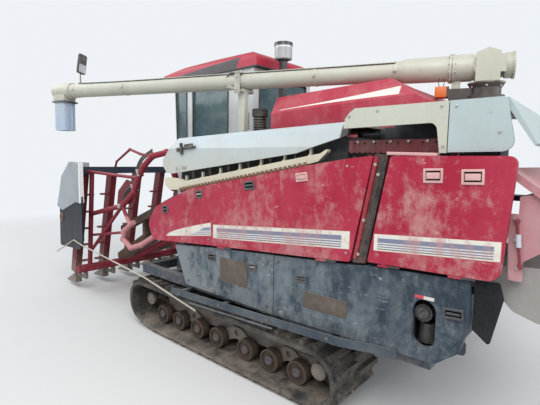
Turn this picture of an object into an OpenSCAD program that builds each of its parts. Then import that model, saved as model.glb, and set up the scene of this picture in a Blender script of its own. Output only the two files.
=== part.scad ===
// Head-feeding combine harvester on rubber tracks, six rows, real size in millimetres.
// X points forward, Y to the left side and Z up. The origin is on the ground,
// under the middle of the machine's length and width.

/* [Overall] */
// Header lift axis to the divider tips
header_reach = 2200; // [2000:10:2500]
// Header lift axis to the back of the straw cutter
body_reach = 2700; // [2600:10:2900]
// Width over the side rails
overall_w = 2300; // [2200:10:2500]

/* [Tracks] */
// Width of one rubber track
track_w = 500; // [400:10:520]
// Thickness of the rubber belt
belt_t = 30; // [20:1:40]
// Height of the lugs
lug_h = 30; // [20:1:40]
// Number of lugs in one row round one track
lug_count = 48; // [40:1:52]
// Front sprocket radius
sprocket_r = 150; // [140:1:160]
// Rear idler radius
idler_r = 150; // [140:1:160]
// Distance between the sprocket and the idler
track_l = 1830; // [1800:10:1900]
// Diameter of a track roller
roller_d = 160; // [140:1:170]
// Rail beside the track, height of the flat bar
rail_h = 48; // [40:1:80]

/* [Chassis] */
// Ground to the underside of the chassis
chassis_z = 472; // [470:1:500]
// Height of the chassis members
chassis_h = 78; // [60:1:90]

/* [Threshing side] */
// Ground to the header lift axis
pivot_z = 1000; // [950:5:1050]
// Thickness of the red side panels
panel_t = 35; // [20:1:40]
// Thickness of the lower side covers
cover_t = 30; // [20:1:35]
// Side rail to the face of the red panels
panel_inset = 40; // [35:1:60]
// Wall of the white covers
shell_t = 20; // [10:1:30]

/* [Cab] */
// Outside width of the cab
cab_w = 1000; // [900:10:1050]
// Outside length of the cab at its floor
cab_l = 1350; // [1200:10:1400]
// Height of the cab under its roof
cab_h = 1520; // [1450:10:1560]
// Cab pillar width
pillar = 60; // [50:1:80]
// Thickness of the glass
glass_t = 6; // [5:1:8]

/* [Grain tank] */
// Length of the grain tank
tank_l = 1360; // [1200:10:1400]
// Ground to the top of the tank at its back
tank_top = 2115; // [2000:5:2120]

/* [Unloading auger] */
// Diameter of the auger tube
tube_d = 156; // [130:1:160]
// Column axis to the end of the auger tube
tube_l = 4280; // [4000:10:4350]
// Diameter of the auger column
column_d = 190; // [170:1:200]
// Ground to the tilt axis of the auger
auger_z = 2205; // [2200:5:2250]

/* [Header] */
// Width over the header
header_w = 2280; // [2200:10:2280]
// Diameter of the header's main pipes
pipe_d = 90; // [70:1:100]
// Number of raising cases
case_count = 7; // [5:1:7]
// Number of tines on a raising case
tine_count = 5; // [4:1:6]

/* [Hidden] */

half_w = overall_w / 2;
// Back end parts move with the body's length, and the column stands behind the tank.
rear = 2700 - body_reach;
tank_front = 390;
column_gap = 250;
column_back = tank_front + tank_l + column_gap;
// The auger lies across the machine: turn and rise of its tube.
column_y = -300;
auger_turn = 16;
boom_rise = 1;
spout_l = 260;
boom_cos = cos(auger_turn) * cos(boom_rise);
auger_reach = (tube_l + spout_l) * boom_cos + (tube_d / 2 + 12) * sqrt(1 - boom_cos * boom_cos) - column_back;
half_l = (max(auger_reach, header_reach) + body_reach) / 2;
pivot_x = body_reach - half_l;
tip_x = pivot_x + header_reach;
seat_gap = 0.3;
run_gap = 6;

// Turns an outline of rows [x, y, corner radius] into points with round corners.
function unit(v) = v / norm(v);
function corner(a, b, c, r, n = 5) =
    r <= 0 ? [b] :
    let (u = unit(a - b), v = unit(c - b), half = acos(u * v) / 2,
        mid = b + unit(u + v) * r / sin(half), start = b + u * r / tan(half) - mid,
        end = b + v * r / tan(half) - mid, a0 = atan2(start[1], start[0]),
        turn = atan2(end[1], end[0]) - a0,
        sweep = turn > 180 ? turn - 360 : turn < -180 ? turn + 360 : turn)
    [for (i = [0:n]) mid + r * [cos(a0 + sweep * i / n), sin(a0 + sweep * i / n)]];
function outline(rows) =
    let (n = len(rows), p = [for (row = rows) [row[0], row[1]]])
    [for (i = [0:n - 1]) each corner(p[(i + n - 1) % n], p[i], p[(i + 1) % n], rows[i][2])];

// Moves the rows of an outline, so that x counts from the header lift axis.
function from_pivot(rows) = [for (row = rows) [pivot_x + row[0], row[1], row[2]]];

module block(low, high) translate(low) cube(high - low);
// A side outline in X and Z, drawn from y0 to y1.
module side_plate(points, y0, y1)
    translate([0, y1, 0]) rotate([90, 0, 0]) linear_extrude(y1 - y0)
        polygon([for (p = points) [p[0], p[1]]]);
// An end outline in Y and Z, drawn from x0 to x1.
module end_plate(points, x0, x1)
    translate([x0, 0, 0]) rotate([90, 0, 90]) linear_extrude(x1 - x0) polygon(points);
// A round bar from p to q.
module bar(p, q, d, fn = 24) {
    v = q - p;
    translate(p) rotate([0, acos(v[2] / norm(v)), atan2(v[1], v[0])])
        cylinder(h = norm(v), d = d, $fn = fn);
}
// Round bars through a list of points, with a wider ball at each bend.
module bent_bar(points, d) {
    for (i = [0:len(points) - 2]) bar(points[i], points[i + 1], d);
    for (i = [1:len(points) - 2]) translate(points[i]) sphere(d = d * 1.2, $fn = 24);
}
// A round bar along Y.
module shaft(x, z, y0, y1, d, fn = 32)
    translate([x, y0, z]) rotate([-90, 0, 0]) cylinder(h = y1 - y0, d = d, $fn = fn);
module both_sides() {
    children();
    mirror([0, 1, 0]) children();
}

// Rubber track: the belt is led round the idler, the first roller and the sprocket.
sprocket_x = pivot_x + 350;
sprocket_z = 240;
idler_x = sprocket_x - track_l;
idler_z = lug_h + belt_t + idler_r;
roller_z = lug_h + belt_t + roller_d / 2;
// Distance of each roller behind the sprocket, as a share of the track's length.
roller_shares = [0.102, 0.226, 0.359, 0.485, 0.652, 0.778, 0.908];
function roller_x(i) = sprocket_x - track_l * roller_shares[i];
first_roller_x = roller_x(0);
track_y = half_w - 30 - track_w / 2;
// Columns: x, z and radius of a wheel that the belt is led round.
belt_wheels = [[idler_x, idler_z, idler_r], [first_roller_x, roller_z, roller_d / 2],
    [sprocket_x, sprocket_z, sprocket_r]];

// Angle of the outward normal of the run from wheel a to wheel b, and the run's ends.
function run_angle(a, b) =
    let (v = [b[0] - a[0], b[1] - a[1]]) atan2(v[1], v[0]) - acos((a[2] - b[2]) / norm(v));
function on_wheel(w, angle, off) =
    [w[0] + (w[2] + off) * cos(angle), w[1] + (w[2] + off) * sin(angle)];
// Steps of the belt as [wheel, from angle, to angle, length of its arc, length of the run after it].
function belt_steps(off) =
    let (n = len(belt_wheels))
    [for (i = [0:n - 1])
        let (w = belt_wheels[i], before = belt_wheels[(i + n - 1) % n], next = belt_wheels[(i + 1) % n],
            a0 = run_angle(before, w), a1 = run_angle(w, next), a2 = a1 < a0 ? a1 + 360 : a1,
            run = norm(on_wheel(next, a2, off) - on_wheel(w, a2, off)))
        [w, a0, a2, (a2 - a0) * PI / 180 * (w[2] + off), run]];
function belt_length(steps, i = 0) = i == len(steps) ? 0 : steps[i][3] + steps[i][4] + belt_length(steps, i + 1);
// The point at distance s along the belt, lifted by h from it.
function belt_point(steps, s, h, off, i = 0) =
    let (st = steps[i], n = len(steps))
    s < st[3] ? on_wheel(st[0], st[1] + (st[2] - st[1]) * s / st[3], off + h) :
    s < st[3] + st[4] || i == n - 1 ?
        on_wheel(st[0], st[2], off + h) + (s - st[3]) * [-sin(st[2]), cos(st[2])] :
        belt_point(steps, s - st[3] - st[4], h, off, i + 1);

// The smooth loop of the belt at a height off over the wheels.
function belt_loop(off) =
    [for (st = belt_steps(off)) let (n = max(2, ceil((st[2] - st[1]) / 8)))
        for (j = [0:n]) on_wheel(st[0], st[1] + (st[2] - st[1]) * j / n, off)];

// One row of lugs; shift is a share of the pitch.
module lug_row(shift) {
    steps = belt_steps(belt_t);
    pitch = belt_length(steps) / lug_count;
    // Columns: share of the pitch and height of a corner of the lug.
    lug = [[0, 0], [0.1, 1], [0.36, 1], [0.46, 0], [0.73, 0]];
    difference() {
        polygon([for (k = [0:lug_count - 1]) for (c = lug)
            belt_point(steps, (k + c[0] + shift) * pitch, c[1] * lug_h, belt_t)]);
        polygon(belt_loop(0));
    }
}

module rubber_track() {
    edge = 18;
    row_w = track_w / 2 - edge;
    color("#4b4743") translate([0, track_y + track_w / 2, 0]) rotate([90, 0, 0]) {
        for (y = [0, track_w - edge]) translate([0, 0, y]) linear_extrude(edge) difference() {
            polygon(belt_loop(belt_t));
            polygon(belt_loop(0));
        }
        translate([0, 0, edge]) linear_extrude(row_w) lug_row(0);
        translate([0, 0, edge + row_w]) linear_extrude(row_w) lug_row(0.5);
    }
}
module rubber_track_left() rubber_track();
module rubber_track_right() mirror([0, 1, 0]) rubber_track();

// Track wheels: two discs for each roller, and the sprocket and the idler in the middle.
roller_count = len(roller_shares);
disc_w = 60;
axle_d = 40;
outer_y = track_y + 115;
inner_y = track_y - 115;
roller_lift = 2;

module wheel(x, y, z, r, w) {
    translate([x, y, z]) rotate([-90, 0, 0]) difference() {
        translate([0, 0, -w / 2]) cylinder(h = w, r = r, $fn = 48);
        for (side = [0, 1]) mirror([0, 0, side]) translate([0, 0, w / 2 - 14]) difference() {
            cylinder(h = 15, r = r - 14, $fn = 48);
            cylinder(h = 15, r = axle_d * 0.9, $fn = 32);
        }
        cylinder(h = w + 2, d = axle_d + 2 * seat_gap, center = true, $fn = 32);
    }
}

module sprocket() {
    teeth = 12;
    // Columns: angle and height of a corner of the tooth over the root circle.
    tooth = [[-9, 0], [-5, 26], [5, 26], [9, 0]];
    translate([sprocket_x, track_y, sprocket_z]) rotate([-90, 0, 0]) difference() {
        translate([0, 0, -25]) linear_extrude(50) polygon([for (i = [0:teeth - 1]) for (c = tooth)
            (sprocket_r - 32 + c[1]) * [cos(i * 360 / teeth + c[0]), sin(i * 360 / teeth + c[0])]]);
        for (i = [0:5]) rotate(i * 60) translate([sprocket_r * 0.5, 0, 0])
            cylinder(h = 60, r = 18, center = true, $fn = 24);
        cylinder(h = 60, d = axle_d + 2 * seat_gap, center = true, $fn = 32);
    }
}

module track_wheels() {
    color("#5b473b") {
        for (i = [0:roller_count - 1]) for (y = [inner_y, outer_y])
            wheel(roller_x(i), y, roller_z + roller_lift, roller_d / 2 - 2, disc_w);
        wheel(idler_x, track_y, idler_z, idler_r - roller_lift, 70);
        sprocket();
    }
}
module track_wheels_left() track_wheels();
module track_wheels_right() mirror([0, 1, 0]) track_wheels();

// Track frame: a beam inside the belt, axles, rockers and legs up to the chassis.
beam_w = 110;
beam_z = 175;
beam_h = 90;
beam_y0 = track_y - beam_w / 2;
beam_y1 = track_y + beam_w / 2;
leg_w = 110;
rocker_t = 25;
belt_edge_y = track_y - track_w / 2;

// A rocker carries two rollers and turns on a hollow boss beside the beam.
module rocker(x0, x1) {
    x = (x0 + x1) / 2;
    hole_z = roller_z + 62;
    difference() {
        side_plate(outline([[x0 - 30, roller_z - 26, 24], [x0 + 34, roller_z - 26, 24],
            [x, roller_z + 20, 30], [x1 - 34, roller_z - 26, 24], [x1 + 30, roller_z - 26, 24],
            [x1 + 30, roller_z + 30, 24], [x + 40, hole_z + 44, 30], [x - 40, hole_z + 44, 30],
            [x0 - 30, roller_z + 30, 24]]), beam_y1 - 5, beam_y1 + rocker_t - 5);
        shaft(x, hole_z, beam_y1 - 6, beam_y1 + rocker_t, 46);
    }
}

module track_frame() {
    color("#3c4148") {
        block([idler_x + idler_r + 20, beam_y0, beam_z],
            [sprocket_x - sprocket_r - 10, beam_y1, beam_z + beam_h]);
        for (i = [0:roller_count - 1]) {
            shaft(roller_x(i), roller_z + roller_lift, inner_y - disc_w / 2 - 5,
                outer_y + disc_w / 2 - 5, axle_d);
            block([roller_x(i) - 24, beam_y0 + 10, roller_z], [roller_x(i) + 24, beam_y1 - 10, beam_z + 1]);
        }
        // Idler fork and its axle.
        shaft(idler_x, idler_z, track_y - 63, track_y + 63, axle_d);
        for (y = [track_y - 63, track_y + 43]) block([idler_x - 25, y, idler_z - 30],
            [idler_x + idler_r + 60, y + 20, idler_z + 30]);
        // Drive shaft housing of the sprocket.
        shaft(sprocket_x, sprocket_z, belt_edge_y - 160, track_y - 40, 130);
        shaft(sprocket_x, sprocket_z, track_y - 41, track_y + 60, axle_d);
        for (i = [1, 3, 5]) rocker(roller_x(i + 1), roller_x(i));
        for (i = [1, 3, 5]) {
            x = (roller_x(i) + roller_x(i + 1)) / 2;
            block([x - leg_w / 2, belt_edge_y - 110, beam_z + 65], [x + leg_w / 2, beam_y1 - 20,
                beam_z + 125]);
            block([x - leg_w / 2, belt_edge_y - 110, beam_z + 65],
                [x + leg_w / 2, belt_edge_y - 20, chassis_z]);
        }
        block([sprocket_x - 60, belt_edge_y - 110, sprocket_z], [sprocket_x + 60,
            belt_edge_y - 20, chassis_z]);
    }
}
module track_frame_left() track_frame();
module track_frame_right() mirror([0, 1, 0]) track_frame();

// Chassis: long members and cross members.
chassis_top = chassis_z + chassis_h;
chassis_front = pivot_x + 450;
chassis_back = pivot_x - 2150 + rear;
member_w = 60;
module chassis_frame() {
    reach = half_w - panel_inset - panel_t - 45;
    cells = 7;
    color("#333a45") {
        for (i = [-2:2]) block([chassis_back, i * (reach - member_w / 2) / 2 - member_w / 2, chassis_z],
            [chassis_front, i * (reach - member_w / 2) / 2 + member_w / 2, chassis_top]);
        for (i = [0:cells]) {
            x = chassis_back + i * (chassis_front - chassis_back - member_w) / cells;
            block([x, -reach, chassis_z], [x + member_w, reach, chassis_top]);
        }
        // Gearbox between the sprockets.
        block([sprocket_x - 140, -320, sprocket_z - 90], [sprocket_x + 140, 320, chassis_z + 1]);
        both_sides() shaft(sprocket_x, sprocket_z, 319, belt_edge_y - 160, 110);
        // Header lift bearings stand on the front of the chassis.
        for (y = header_bearings) header_bearing(y);
        // Ears of the header lift cylinder.
        for (side = [0, 1]) translate([0, lift_y - 46 + side * 80, 0])
            side_plate([[lift_a[0] - 60, chassis_z + 10], [lift_a[0] + 60, chassis_z + 10],
                [lift_a[0] + 30, lift_a[1] + 30], [lift_a[0] - 30, lift_a[1] + 30]], 0, 12);
        shaft(lift_a[0], lift_a[1], lift_y - 46, lift_y + 46, lift_pin_d);
    }
}
// Eyes for tying the machine down on a lorry, at the chassis corners.
eye_hole = 40;
eye_t = 16;
module tie_down_eyes() {
    color("#566679") for (side = [-1, 1]) for (end = [0, 1]) {
        x = end == 0 ? chassis_back - 90 : chassis_front;
        translate([0, side * 750 - eye_t / 2, 0]) difference() {
            side_plate(outline([[x, chassis_z, 20], [x + 90, chassis_z, 0], [x + 90, chassis_top, 0],
                [x, chassis_top, 20]]), 0, eye_t);
            shaft(x + 45, chassis_z + 39, -1, eye_t + 1, eye_hole, 32);
        }
    }
}
header_bearings = [-190, 315, 820];
bearing_w = 60;
module header_bearing(y) {
    difference() {
        side_plate(outline([[pivot_x - 95, chassis_top - 20, 0], [pivot_x + 140, chassis_top - 20, 0],
            [pivot_x + 80, pivot_z + 80, 50], [pivot_x - 80, pivot_z + 80, 50]]), y, y + bearing_w);
        shaft(pivot_x, pivot_z, y - 1, y + bearing_w + 1, pipe_d + 2 * seat_gap, 48);
    }
}

// Flat rails beside the tracks, rising a little to the back and bent inwards there.
rail_t = 12;
rail_z = 429;
rail_rise = 0.036;
rail_x0 = pivot_x - 150;
rail_x1 = pivot_x - 1700;
function rail_low(x) = rail_z + (pivot_x - x) * rail_rise;
module side_rails() {
    color("#566679") {
        both_sides() {
            translate([pivot_x, 0, rail_z]) rotate([0, atan(rail_rise), 0]) linear_extrude(rail_h)
                polygon([for (c = [[20 - 150, -26], [32 - 150, -26], [0 - 150, 0], [-1700, 0],
                    [-1885, -42], [-2010, -42], [-2010, -54], [-1888, -54], [-1704, -12],
                    [-4 - 150, -12]]) [c[0], half_w + c[1]]]);
            for (i = [0:3]) {
                x = rail_x0 - 120 - i * (rail_x0 - rail_x1 - 200) / 3;
                z = max(chassis_z + 4, rail_low(x) + 8);
                block([x - 20, body_y1, z], [x + 20, half_w - rail_t + 1, z + 10]);
            }
        }
        // A loose rod hangs under the left rail.
        bar([pivot_x - 380, half_w - 9, 410], [pivot_x - 1207, half_w - 9, 446], 14);
        for (x = [-450, -1120]) block([pivot_x + x - 5, half_w - 12, rail_low(pivot_x + x) - 30],
            [pivot_x + x + 5, half_w - 6, rail_low(pivot_x + x) + 4]);
    }
}

// Engine under the cab, as one plain block.
module engine_block() {
    color("#6a6d70") block([pivot_x - 380, -960, chassis_top], [pivot_x + 330, -330, 940]);
}

// Threshing body: one closed housing along the left side.
body_y1 = half_w - panel_inset - panel_t - 45;
body_y0 = 250;
drum_y = half_w - 150;
deck_z = 1300;
// Columns: x from the lift axis, z, corner radius.
body_back = -2290 + rear;
body_rows = [[body_back, 640, 60], [body_back + 190, chassis_top, 0], [-160, chassis_top, 0],
    [-160, 860, 0], [-120, 1080, 40], [-190, 1185, 0], [-900, 1335, 0], [-1380, 1425, 0],
    [-1700, 1485, 0], [body_back, 1485, 20]];
// Drum casing under the white cover.
casing_rows = [[-160, 1040, 0], [40, 1330, 40], [20, 1480, 40], [-90, 1600, 60], [-1570, 1655, 30],
    [-1570, 1400, 0]];
casing_y1 = 900;
cover_top = 1786;
filler_x = -2128 + rear;
module thresher_body() {
    color("#3f434a") {
        difference() {
            side_plate(outline(from_pivot(body_rows)), body_y0, body_y1);
            block([pivot_x + filler_x - 70, body_y1 - 100, 590], [pivot_x + filler_x + 70, body_y1 + 1, 860]);
        }
        side_plate(outline(from_pivot(casing_rows)), drum_in_y + 10, casing_y1);
        block([pivot_x + body_back + 10, body_y0, 1400], [pivot_x - 1650, 460, cover_top - shell_t]);
        block([pivot_x - 1651, body_y0, 1400], [pivot_x - 1400, 425, cover_top - shell_t - 30]);
        block([pivot_x - 300, body_y0 - 60, 1100], [pivot_x, 460, deck_z]);
        // Fixed knuckles of the side panels.
        fixed_knuckles(front_hinge, [0.05, 0.8], 0.06);
        fixed_knuckles(rear_hinge, [0.1, 0.7], 0.1);
        // Brackets of the drum cover's hinge.
        for (x = [-1400, -1000, -380]) difference() {
            block([pivot_x + x - 12, drum_in_y - 40, 1000], [pivot_x + x + 12, drum_in_y - 4,
                drum_hinge(x)[2] + 2]);
            bar(drum_hinge(x + 30), drum_hinge(x - 30), hinge_d + 2 * seat_gap);
        }
        // Ears of the straw cutter's hinge.
        for (z = [1110, 1290]) difference() {
            block([pivot_x + cutter_x + 6, cutter_y0 - 45, z], [pivot_x + body_back + 10, body_y0 + 50, z + 30]);
            translate([pivot_x + cutter_x + 30, cutter_y0 - 20, z - 1])
                cylinder(h = 32, d = 36 + 2 * seat_gap, $fn = 32);
        }
    }
}

// Pulleys and belts on the threshing body's left wall, behind the red panels.
// Columns: x from the lift axis, z, radius.
pulley_rows = [[-350, 900, 90], [-760, 1130, 150], [-1230, 1020, 110], [-1560, 1240, 130],
    [-2060 + rear, 1160, 170]];
pulley_w = 30;
module pulley(row) {
    translate([pivot_x + row[0], body_y1, row[1]]) rotate([-90, 0, 0]) difference() {
        cylinder(h = pulley_w, r = row[2], $fn = 48);
        translate([0, 0, pulley_w - 12]) difference() {
            cylinder(h = 13, r = row[2] - 12, $fn = 48);
            cylinder(h = 13, r = 26, $fn = 24);
        }
    }
}
module belt_run(a, b) {
    // The belt lies on the outer side of both pulleys, 8 mm thick.
    v = [b[0] - a[0], b[1] - a[1]];
    angle = atan2(v[1], v[0]);
    side_plate([for (c = [[a, 0.92], [b, 0.92], [b, 1], [a, 1]])
        [pivot_x + c[0][0] - c[1] * c[0][2] * sin(angle), c[0][1] + c[1] * c[0][2] * cos(angle)]],
        body_y1 + 5, body_y1 + pulley_w - 14);
    side_plate([for (c = [[a, 0.92], [b, 0.92], [b, 1], [a, 1]])
        [pivot_x + c[0][0] + c[1] * c[0][2] * sin(angle), c[0][1] - c[1] * c[0][2] * cos(angle)]],
        body_y1 + 5, body_y1 + pulley_w - 14);
}
module side_drive() {
    color("#55585c") {
        for (row = pulley_rows) pulley(row);
        for (i = [0:len(pulley_rows) - 2]) belt_run(pulley_rows[i], pulley_rows[i + 1]);
    }
}

// Feed chain: a toothed run along the top of the threshing body's left edge.
// Columns: x from the lift axis, z of the chain's underside.
chain_rows = [[170, 1050], [-190, 1185.3], [-900, 1335.3], [-1380, 1425.3], [-1700, 1485.3]];
chain_h = 28;
tooth_h = 24;
chain_pitch = 38;
// Top of one run from a to b with its teeth, as [x, z] points.
function chain_top(a, b) =
    let (v = b - a, n = floor(norm(v) / chain_pitch), u = v / norm(v), up = [u[1], -u[0]])
    [for (i = [0:n - 1]) for (c = [[0.05, 0], [0.5, tooth_h], [0.95, 0]])
        a + v * (i + c[0]) / n + up * (chain_h + c[1])];
chain_w = 30;
chain_y = body_y1 - 40;
module feed_chain() {
    points = [for (r = chain_rows) [pivot_x + r[0], r[1]]];
    n = len(points);
    color("#2a2826") {
        side_plate(concat([for (i = [n - 1:-1:0]) points[i]],
            [for (i = [0:n - 2]) each chain_top(points[i], points[i + 1])]), chain_y, chain_y + chain_w);
        shaft(pivot_x + 140, 1075, chain_y - 60, chain_y + chain_w - 4, 70);
    }
}

// White cover over the threshing drum, with the clamp rail under its outer edge.
drum_in_y = 470;
drum_rows = [[105, 1388, 30], [158, 1445, 20], [158, 1500, 30], [-20, 1674, 40], [-1600, 1736, 40],
    [-1606, 1652, 0], [-1455, 1609, 60], [-1261, 1551, 60], [40, 1384, 0]];
drum_inner_rows = [[158 - shell_t, 1250, 0], [158 - shell_t, 1492, 20], [-28, 1652, 40],
    [-1650, 1716, 0], [-1650, 1300, 0]];
module drum_cover() {
    color("#e9ebe4") difference() {
        intersection() {
            side_plate(outline(from_pivot(drum_rows)), drum_in_y, drum_y);
            end_plate(outline([[drum_in_y, 1000, 0], [drum_y, 1000, 0], [drum_y, 1590, 0],
                [drum_y - 40, 1700, 60], [drum_y - 140, 1780, 60], [drum_in_y, 1780, 0]]),
                pivot_x - 1700, pivot_x + 200);
        }
        intersection() {
            side_plate(outline(from_pivot(drum_inner_rows)), drum_in_y - 1, drum_y - shell_t);
            end_plate(outline([[drum_in_y - 1, 900, 0], [drum_y - shell_t, 900, 0],
                [drum_y - shell_t, 1580, 0], [drum_y - 60, 1680, 60], [drum_y - 150, 1758, 60],
                [drum_in_y - 1, 1758, 0]]), pivot_x - 1750, pivot_x + 180);
        }
    }
    color("#e9ebe4") {
        bar(drum_hinge(-1560), drum_hinge(-140), hinge_d);
        for (x = [-1500, -850, -200]) translate(drum_hinge(x) - [30, 8, 4]) cube([60, 26, 12]);
    }
}
// The cover's hinge lies along its inboard upper edge; x counts from the header lift axis.
hinge_d = 22;
function drum_hinge(x) = [pivot_x + x, drum_in_y - 16, 1650 - (x + 15) * 0.0404];

// Clamp rail: a cream plate with a deep nose, on arms from the drum casing.
clamp_rows = [[107, 1350, 8], [100, 1290, 30], [45, 1252, 20], [-56, 1254, 0], [-1380, 1488, 10],
    [-1440, 1502, 10], [-1500, 1556, 5], [-1500, 1576, 5], [-1453, 1549, 10], [-156, 1330, 10],
    [-60, 1350, 10]];
module clamp_rail() {
    y = drum_y - 16;
    color("#d8d2b4") {
        side_plate(outline(from_pivot(clamp_rows)), y, y + 36);
        for (i = [0:6]) {
            x = -120 - i * 205;
            z = 1300 - (x + 56) * 0.172;
            block([pivot_x + x - 8, casing_y1 + seat_gap, z], [pivot_x + x + 8, y + 1, z + 20]);
            block([pivot_x + x - 8, y - 30, z], [pivot_x + x + 8, y - 12, z + 62]);
        }
    }
}

// White frame cover with its window, and the white cover behind it.
cover_y = half_w - 80;
cover_in_y = body_y0 + 2;
cover_seam = -2181 + rear;
module window_cover() {
    color("#e4e2d2") {
        side_plate(outline(from_pivot([[-1636, 1682, 0], [-1642, 1735, 8], [-1669, 1764, 12],
            [-1700, cover_top, 0], [cover_seam, cover_top, 0], [cover_seam, 1549, 0],
            [cover_seam + 32, 1549, 0], [cover_seam + 52, 1691, 38]])), cover_y - shell_t, cover_y);
        block([pivot_x + cover_seam, cover_in_y, cover_top - shell_t], [pivot_x - 1700, cover_y - 1, cover_top]);
    }
}
module rear_cover() {
    x0 = cover_seam - 5;
    x1 = -2412 + rear;
    color("#e9ebe4") {
        side_plate(outline(from_pivot([[x0, cover_top, 0], [x1, cover_top, 20], [x1 - 48, 1556, 45],
            [x0, 1552, 0]])), cover_y - shell_t, cover_y);
        block([pivot_x + x1 + 10, cover_in_y, cover_top - shell_t], [pivot_x + x0, cover_y - 1, cover_top]);
        // Sloping plate over the straw outlet.
        side_plate(from_pivot([[x1 + 12, cover_top, 0], [x1 + 12, cover_top - 20, 0], [x1 - 108, 1580, 0],
            [x1 - 120, 1588, 0], [x1 - 4, cover_top, 0]]), cover_in_y, cover_y - 30);
    }
}

// Straw conveyor seen in the window: a red strip over a toothed chain.
module straw_conveyor() {
    z = 1588;
    y = cover_y - 110;
    end = pivot_x + body_back;
    front = pivot_x - 1616;
    color("#8c2f34") difference() {
        block([end, y, z], [front, y + 12, z + 34]);
        for (i = [0:8]) shaft(pivot_x - 1650 - i * 64, z + 17, y - 1, y + 13, 12);
    }
    color("#2a2826") {
        for (i = [0:23]) if (-1640 - i * 32 > body_back + 25)
            translate([pivot_x - 1640 - i * 32, y + 4, z - 18]) rotate([-90, 0, 0])
                cylinder(h = 14, r = 21, $fn = 6);
        block([end, y + 4, z - 26], [front, y + 14, z + 4]);
        block([end, 470, 1485.3], [pivot_x - 1720, y + 2, 1530]);
        for (x = [body_back + 90, -1760]) block([pivot_x + x, y - 20, 1529], [pivot_x + x + 30, y + 2, z + 20]);
    }
}

// Red side panels, each hinged along its lower edge.
panel_y = half_w - panel_inset;
front_panel_rows = [[230, 965, 80], [150, 826, 60], [-597, 885, 0], [-1723, 963, 20],
    [-1838, 1536, 12], [-1690, 1519, 60], [-1450, 1482, 0], [-881, 1380, 300], [-340, 1284, 200],
    [110, 1110, 150]];
rear_panel_rows = [[-1930, 1534, 20], [-1826, 982, 10], [-2440 + rear, 998, 55],
    [-2478 + rear, 1536, 35]];
module panel(rows) {
    difference() {
        side_plate(outline(from_pivot(rows)), panel_y - panel_t, panel_y);
        side_plate(outline([for (row = inset_rows(rows, 25)) row]), panel_y - panel_t - 1,
            panel_y - 8);
    }
}
// The same outline, drawn in by d towards its middle.
function middle(rows) = [for (k = [0:1]) (max([for (r = rows) r[k]]) + min([for (r = rows) r[k]])) / 2];
function inset_rows(rows, d) =
    let (m = middle(rows), w = max([for (r = rows) r[0]]) - m[0], h = max([for (r = rows) r[1]]) - m[1])
    from_pivot([for (r = rows) [m[0] + (r[0] - m[0]) * (w - d) / w, m[1] + (r[1] - m[1]) * (h - d) / h, r[2]]]);
// Hinge line of each panel: x and z of its two ends, in the gap above the lower covers.
front_hinge = [[-597, 875], [-1723, 953]];
rear_hinge = [[-1826, 970], [-2405 + rear, 990]];
hinge_y = panel_y - 8;
knuckle_d = 14;
// Knuckle k of a hinge line, from share a to share b of its length.
module knuckle(line, a, b) {
    p = line[0] + (line[1] - line[0]) * a;
    q = line[0] + (line[1] - line[0]) * b;
    bar([pivot_x + p[0], hinge_y, p[1]], [pivot_x + q[0], hinge_y, q[1]], knuckle_d);
}
function on_line(line, a) = line[0] + (line[1] - line[0]) * a;
module moving_knuckles(line, shares, w) for (a = shares) {
    p = on_line(line, a + w / 2);
    knuckle(line, a, a + w);
    block([pivot_x + p[0] - 10, hinge_y - 5, p[1]], [pivot_x + p[0] + 10, hinge_y + 5, p[1] + 16]);
}
module fixed_knuckles(line, shares, w) for (a = shares) {
    p = on_line(line, a + w * 1.6);
    knuckle(line, a + w + 0.0005, a + w * 2);
    shaft(pivot_x + p[0], p[1], body_y1, hinge_y, 10);
}
module front_side_panel() color("#b9324a") {
    panel(front_panel_rows);
    moving_knuckles(front_hinge, [0.05, 0.8], 0.06);
}
module rear_side_panel() color("#b9324a") {
    panel(rear_panel_rows);
    moving_knuckles(rear_hinge, [0.1, 0.7], 0.1);
}

module centre_post() {
    color("#6b5f57") {
        side_plate(from_pivot([[-1739, 965, 0], [-1812, 970, 0], [-1916, 1536, 0], [-1843, 1545, 0]]),
            body_y1 + 34, panel_y - 4);
        block([pivot_x - 1800, body_y1, 970], [pivot_x - 1750, body_y1 + 36, 1010]);
        block([pivot_x - 1900, body_y1, 1470], [pivot_x - 1850, body_y1 + 36, 1510]);
        side_plate(from_pivot([[-1745, 990, 0], [-1765, 990, 0], [-1868, 1530, 0], [-1848, 1530, 0]]),
            panel_y - 5, panel_y + 6);
    }
}

// Lower side covers, dark blue grey, with the fuel filler in a slot.
lower_y = panel_y - 20;
seam_x = -1170;
module lower_cover(rows) {
    side_plate(outline(from_pivot(rows)), lower_y - cover_t, lower_y);
}
module lower_cover_front() {
    color("#3d4c5e") {
        lower_cover([[-128, 820, 10], [-266, 524, 30], [seam_x + 3, 515, 0], [seam_x + 3, 905, 0],
            [-597, 865, 0]]);
        block([pivot_x - 1000, body_y1, 700], [pivot_x - 900, lower_y - cover_t + 1, 740]);
        block([pivot_x - 450, body_y1, 700], [pivot_x - 400, lower_y - cover_t + 1, 740]);
    }
}
module lower_cover_rear() {
    color("#3d4c5e") difference() {
        union() {
            lower_cover([[seam_x - 3, 905, 0], [seam_x - 3, 515, 0], [-2190 + rear, 541, 60],
                [-2296 + rear, 628, 60], [-2334 + rear, 780, 40], [-2324 + rear, 975, 10],
                [-1822, 958, 0], [-1723, 943, 0]]);
            block([pivot_x - 1300, body_y1, 700], [pivot_x - 1250, lower_y - cover_t + 1, 740]);
            block([pivot_x - 2270 + rear, body_y1, 800], [pivot_x - 2230 + rear, lower_y - cover_t + 1, 850]);
        }
        translate([pivot_x + filler_x, 0, 0]) slot(112, 605, 843, lower_y - cover_t - 1, lower_y + 1);
    }
}
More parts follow.
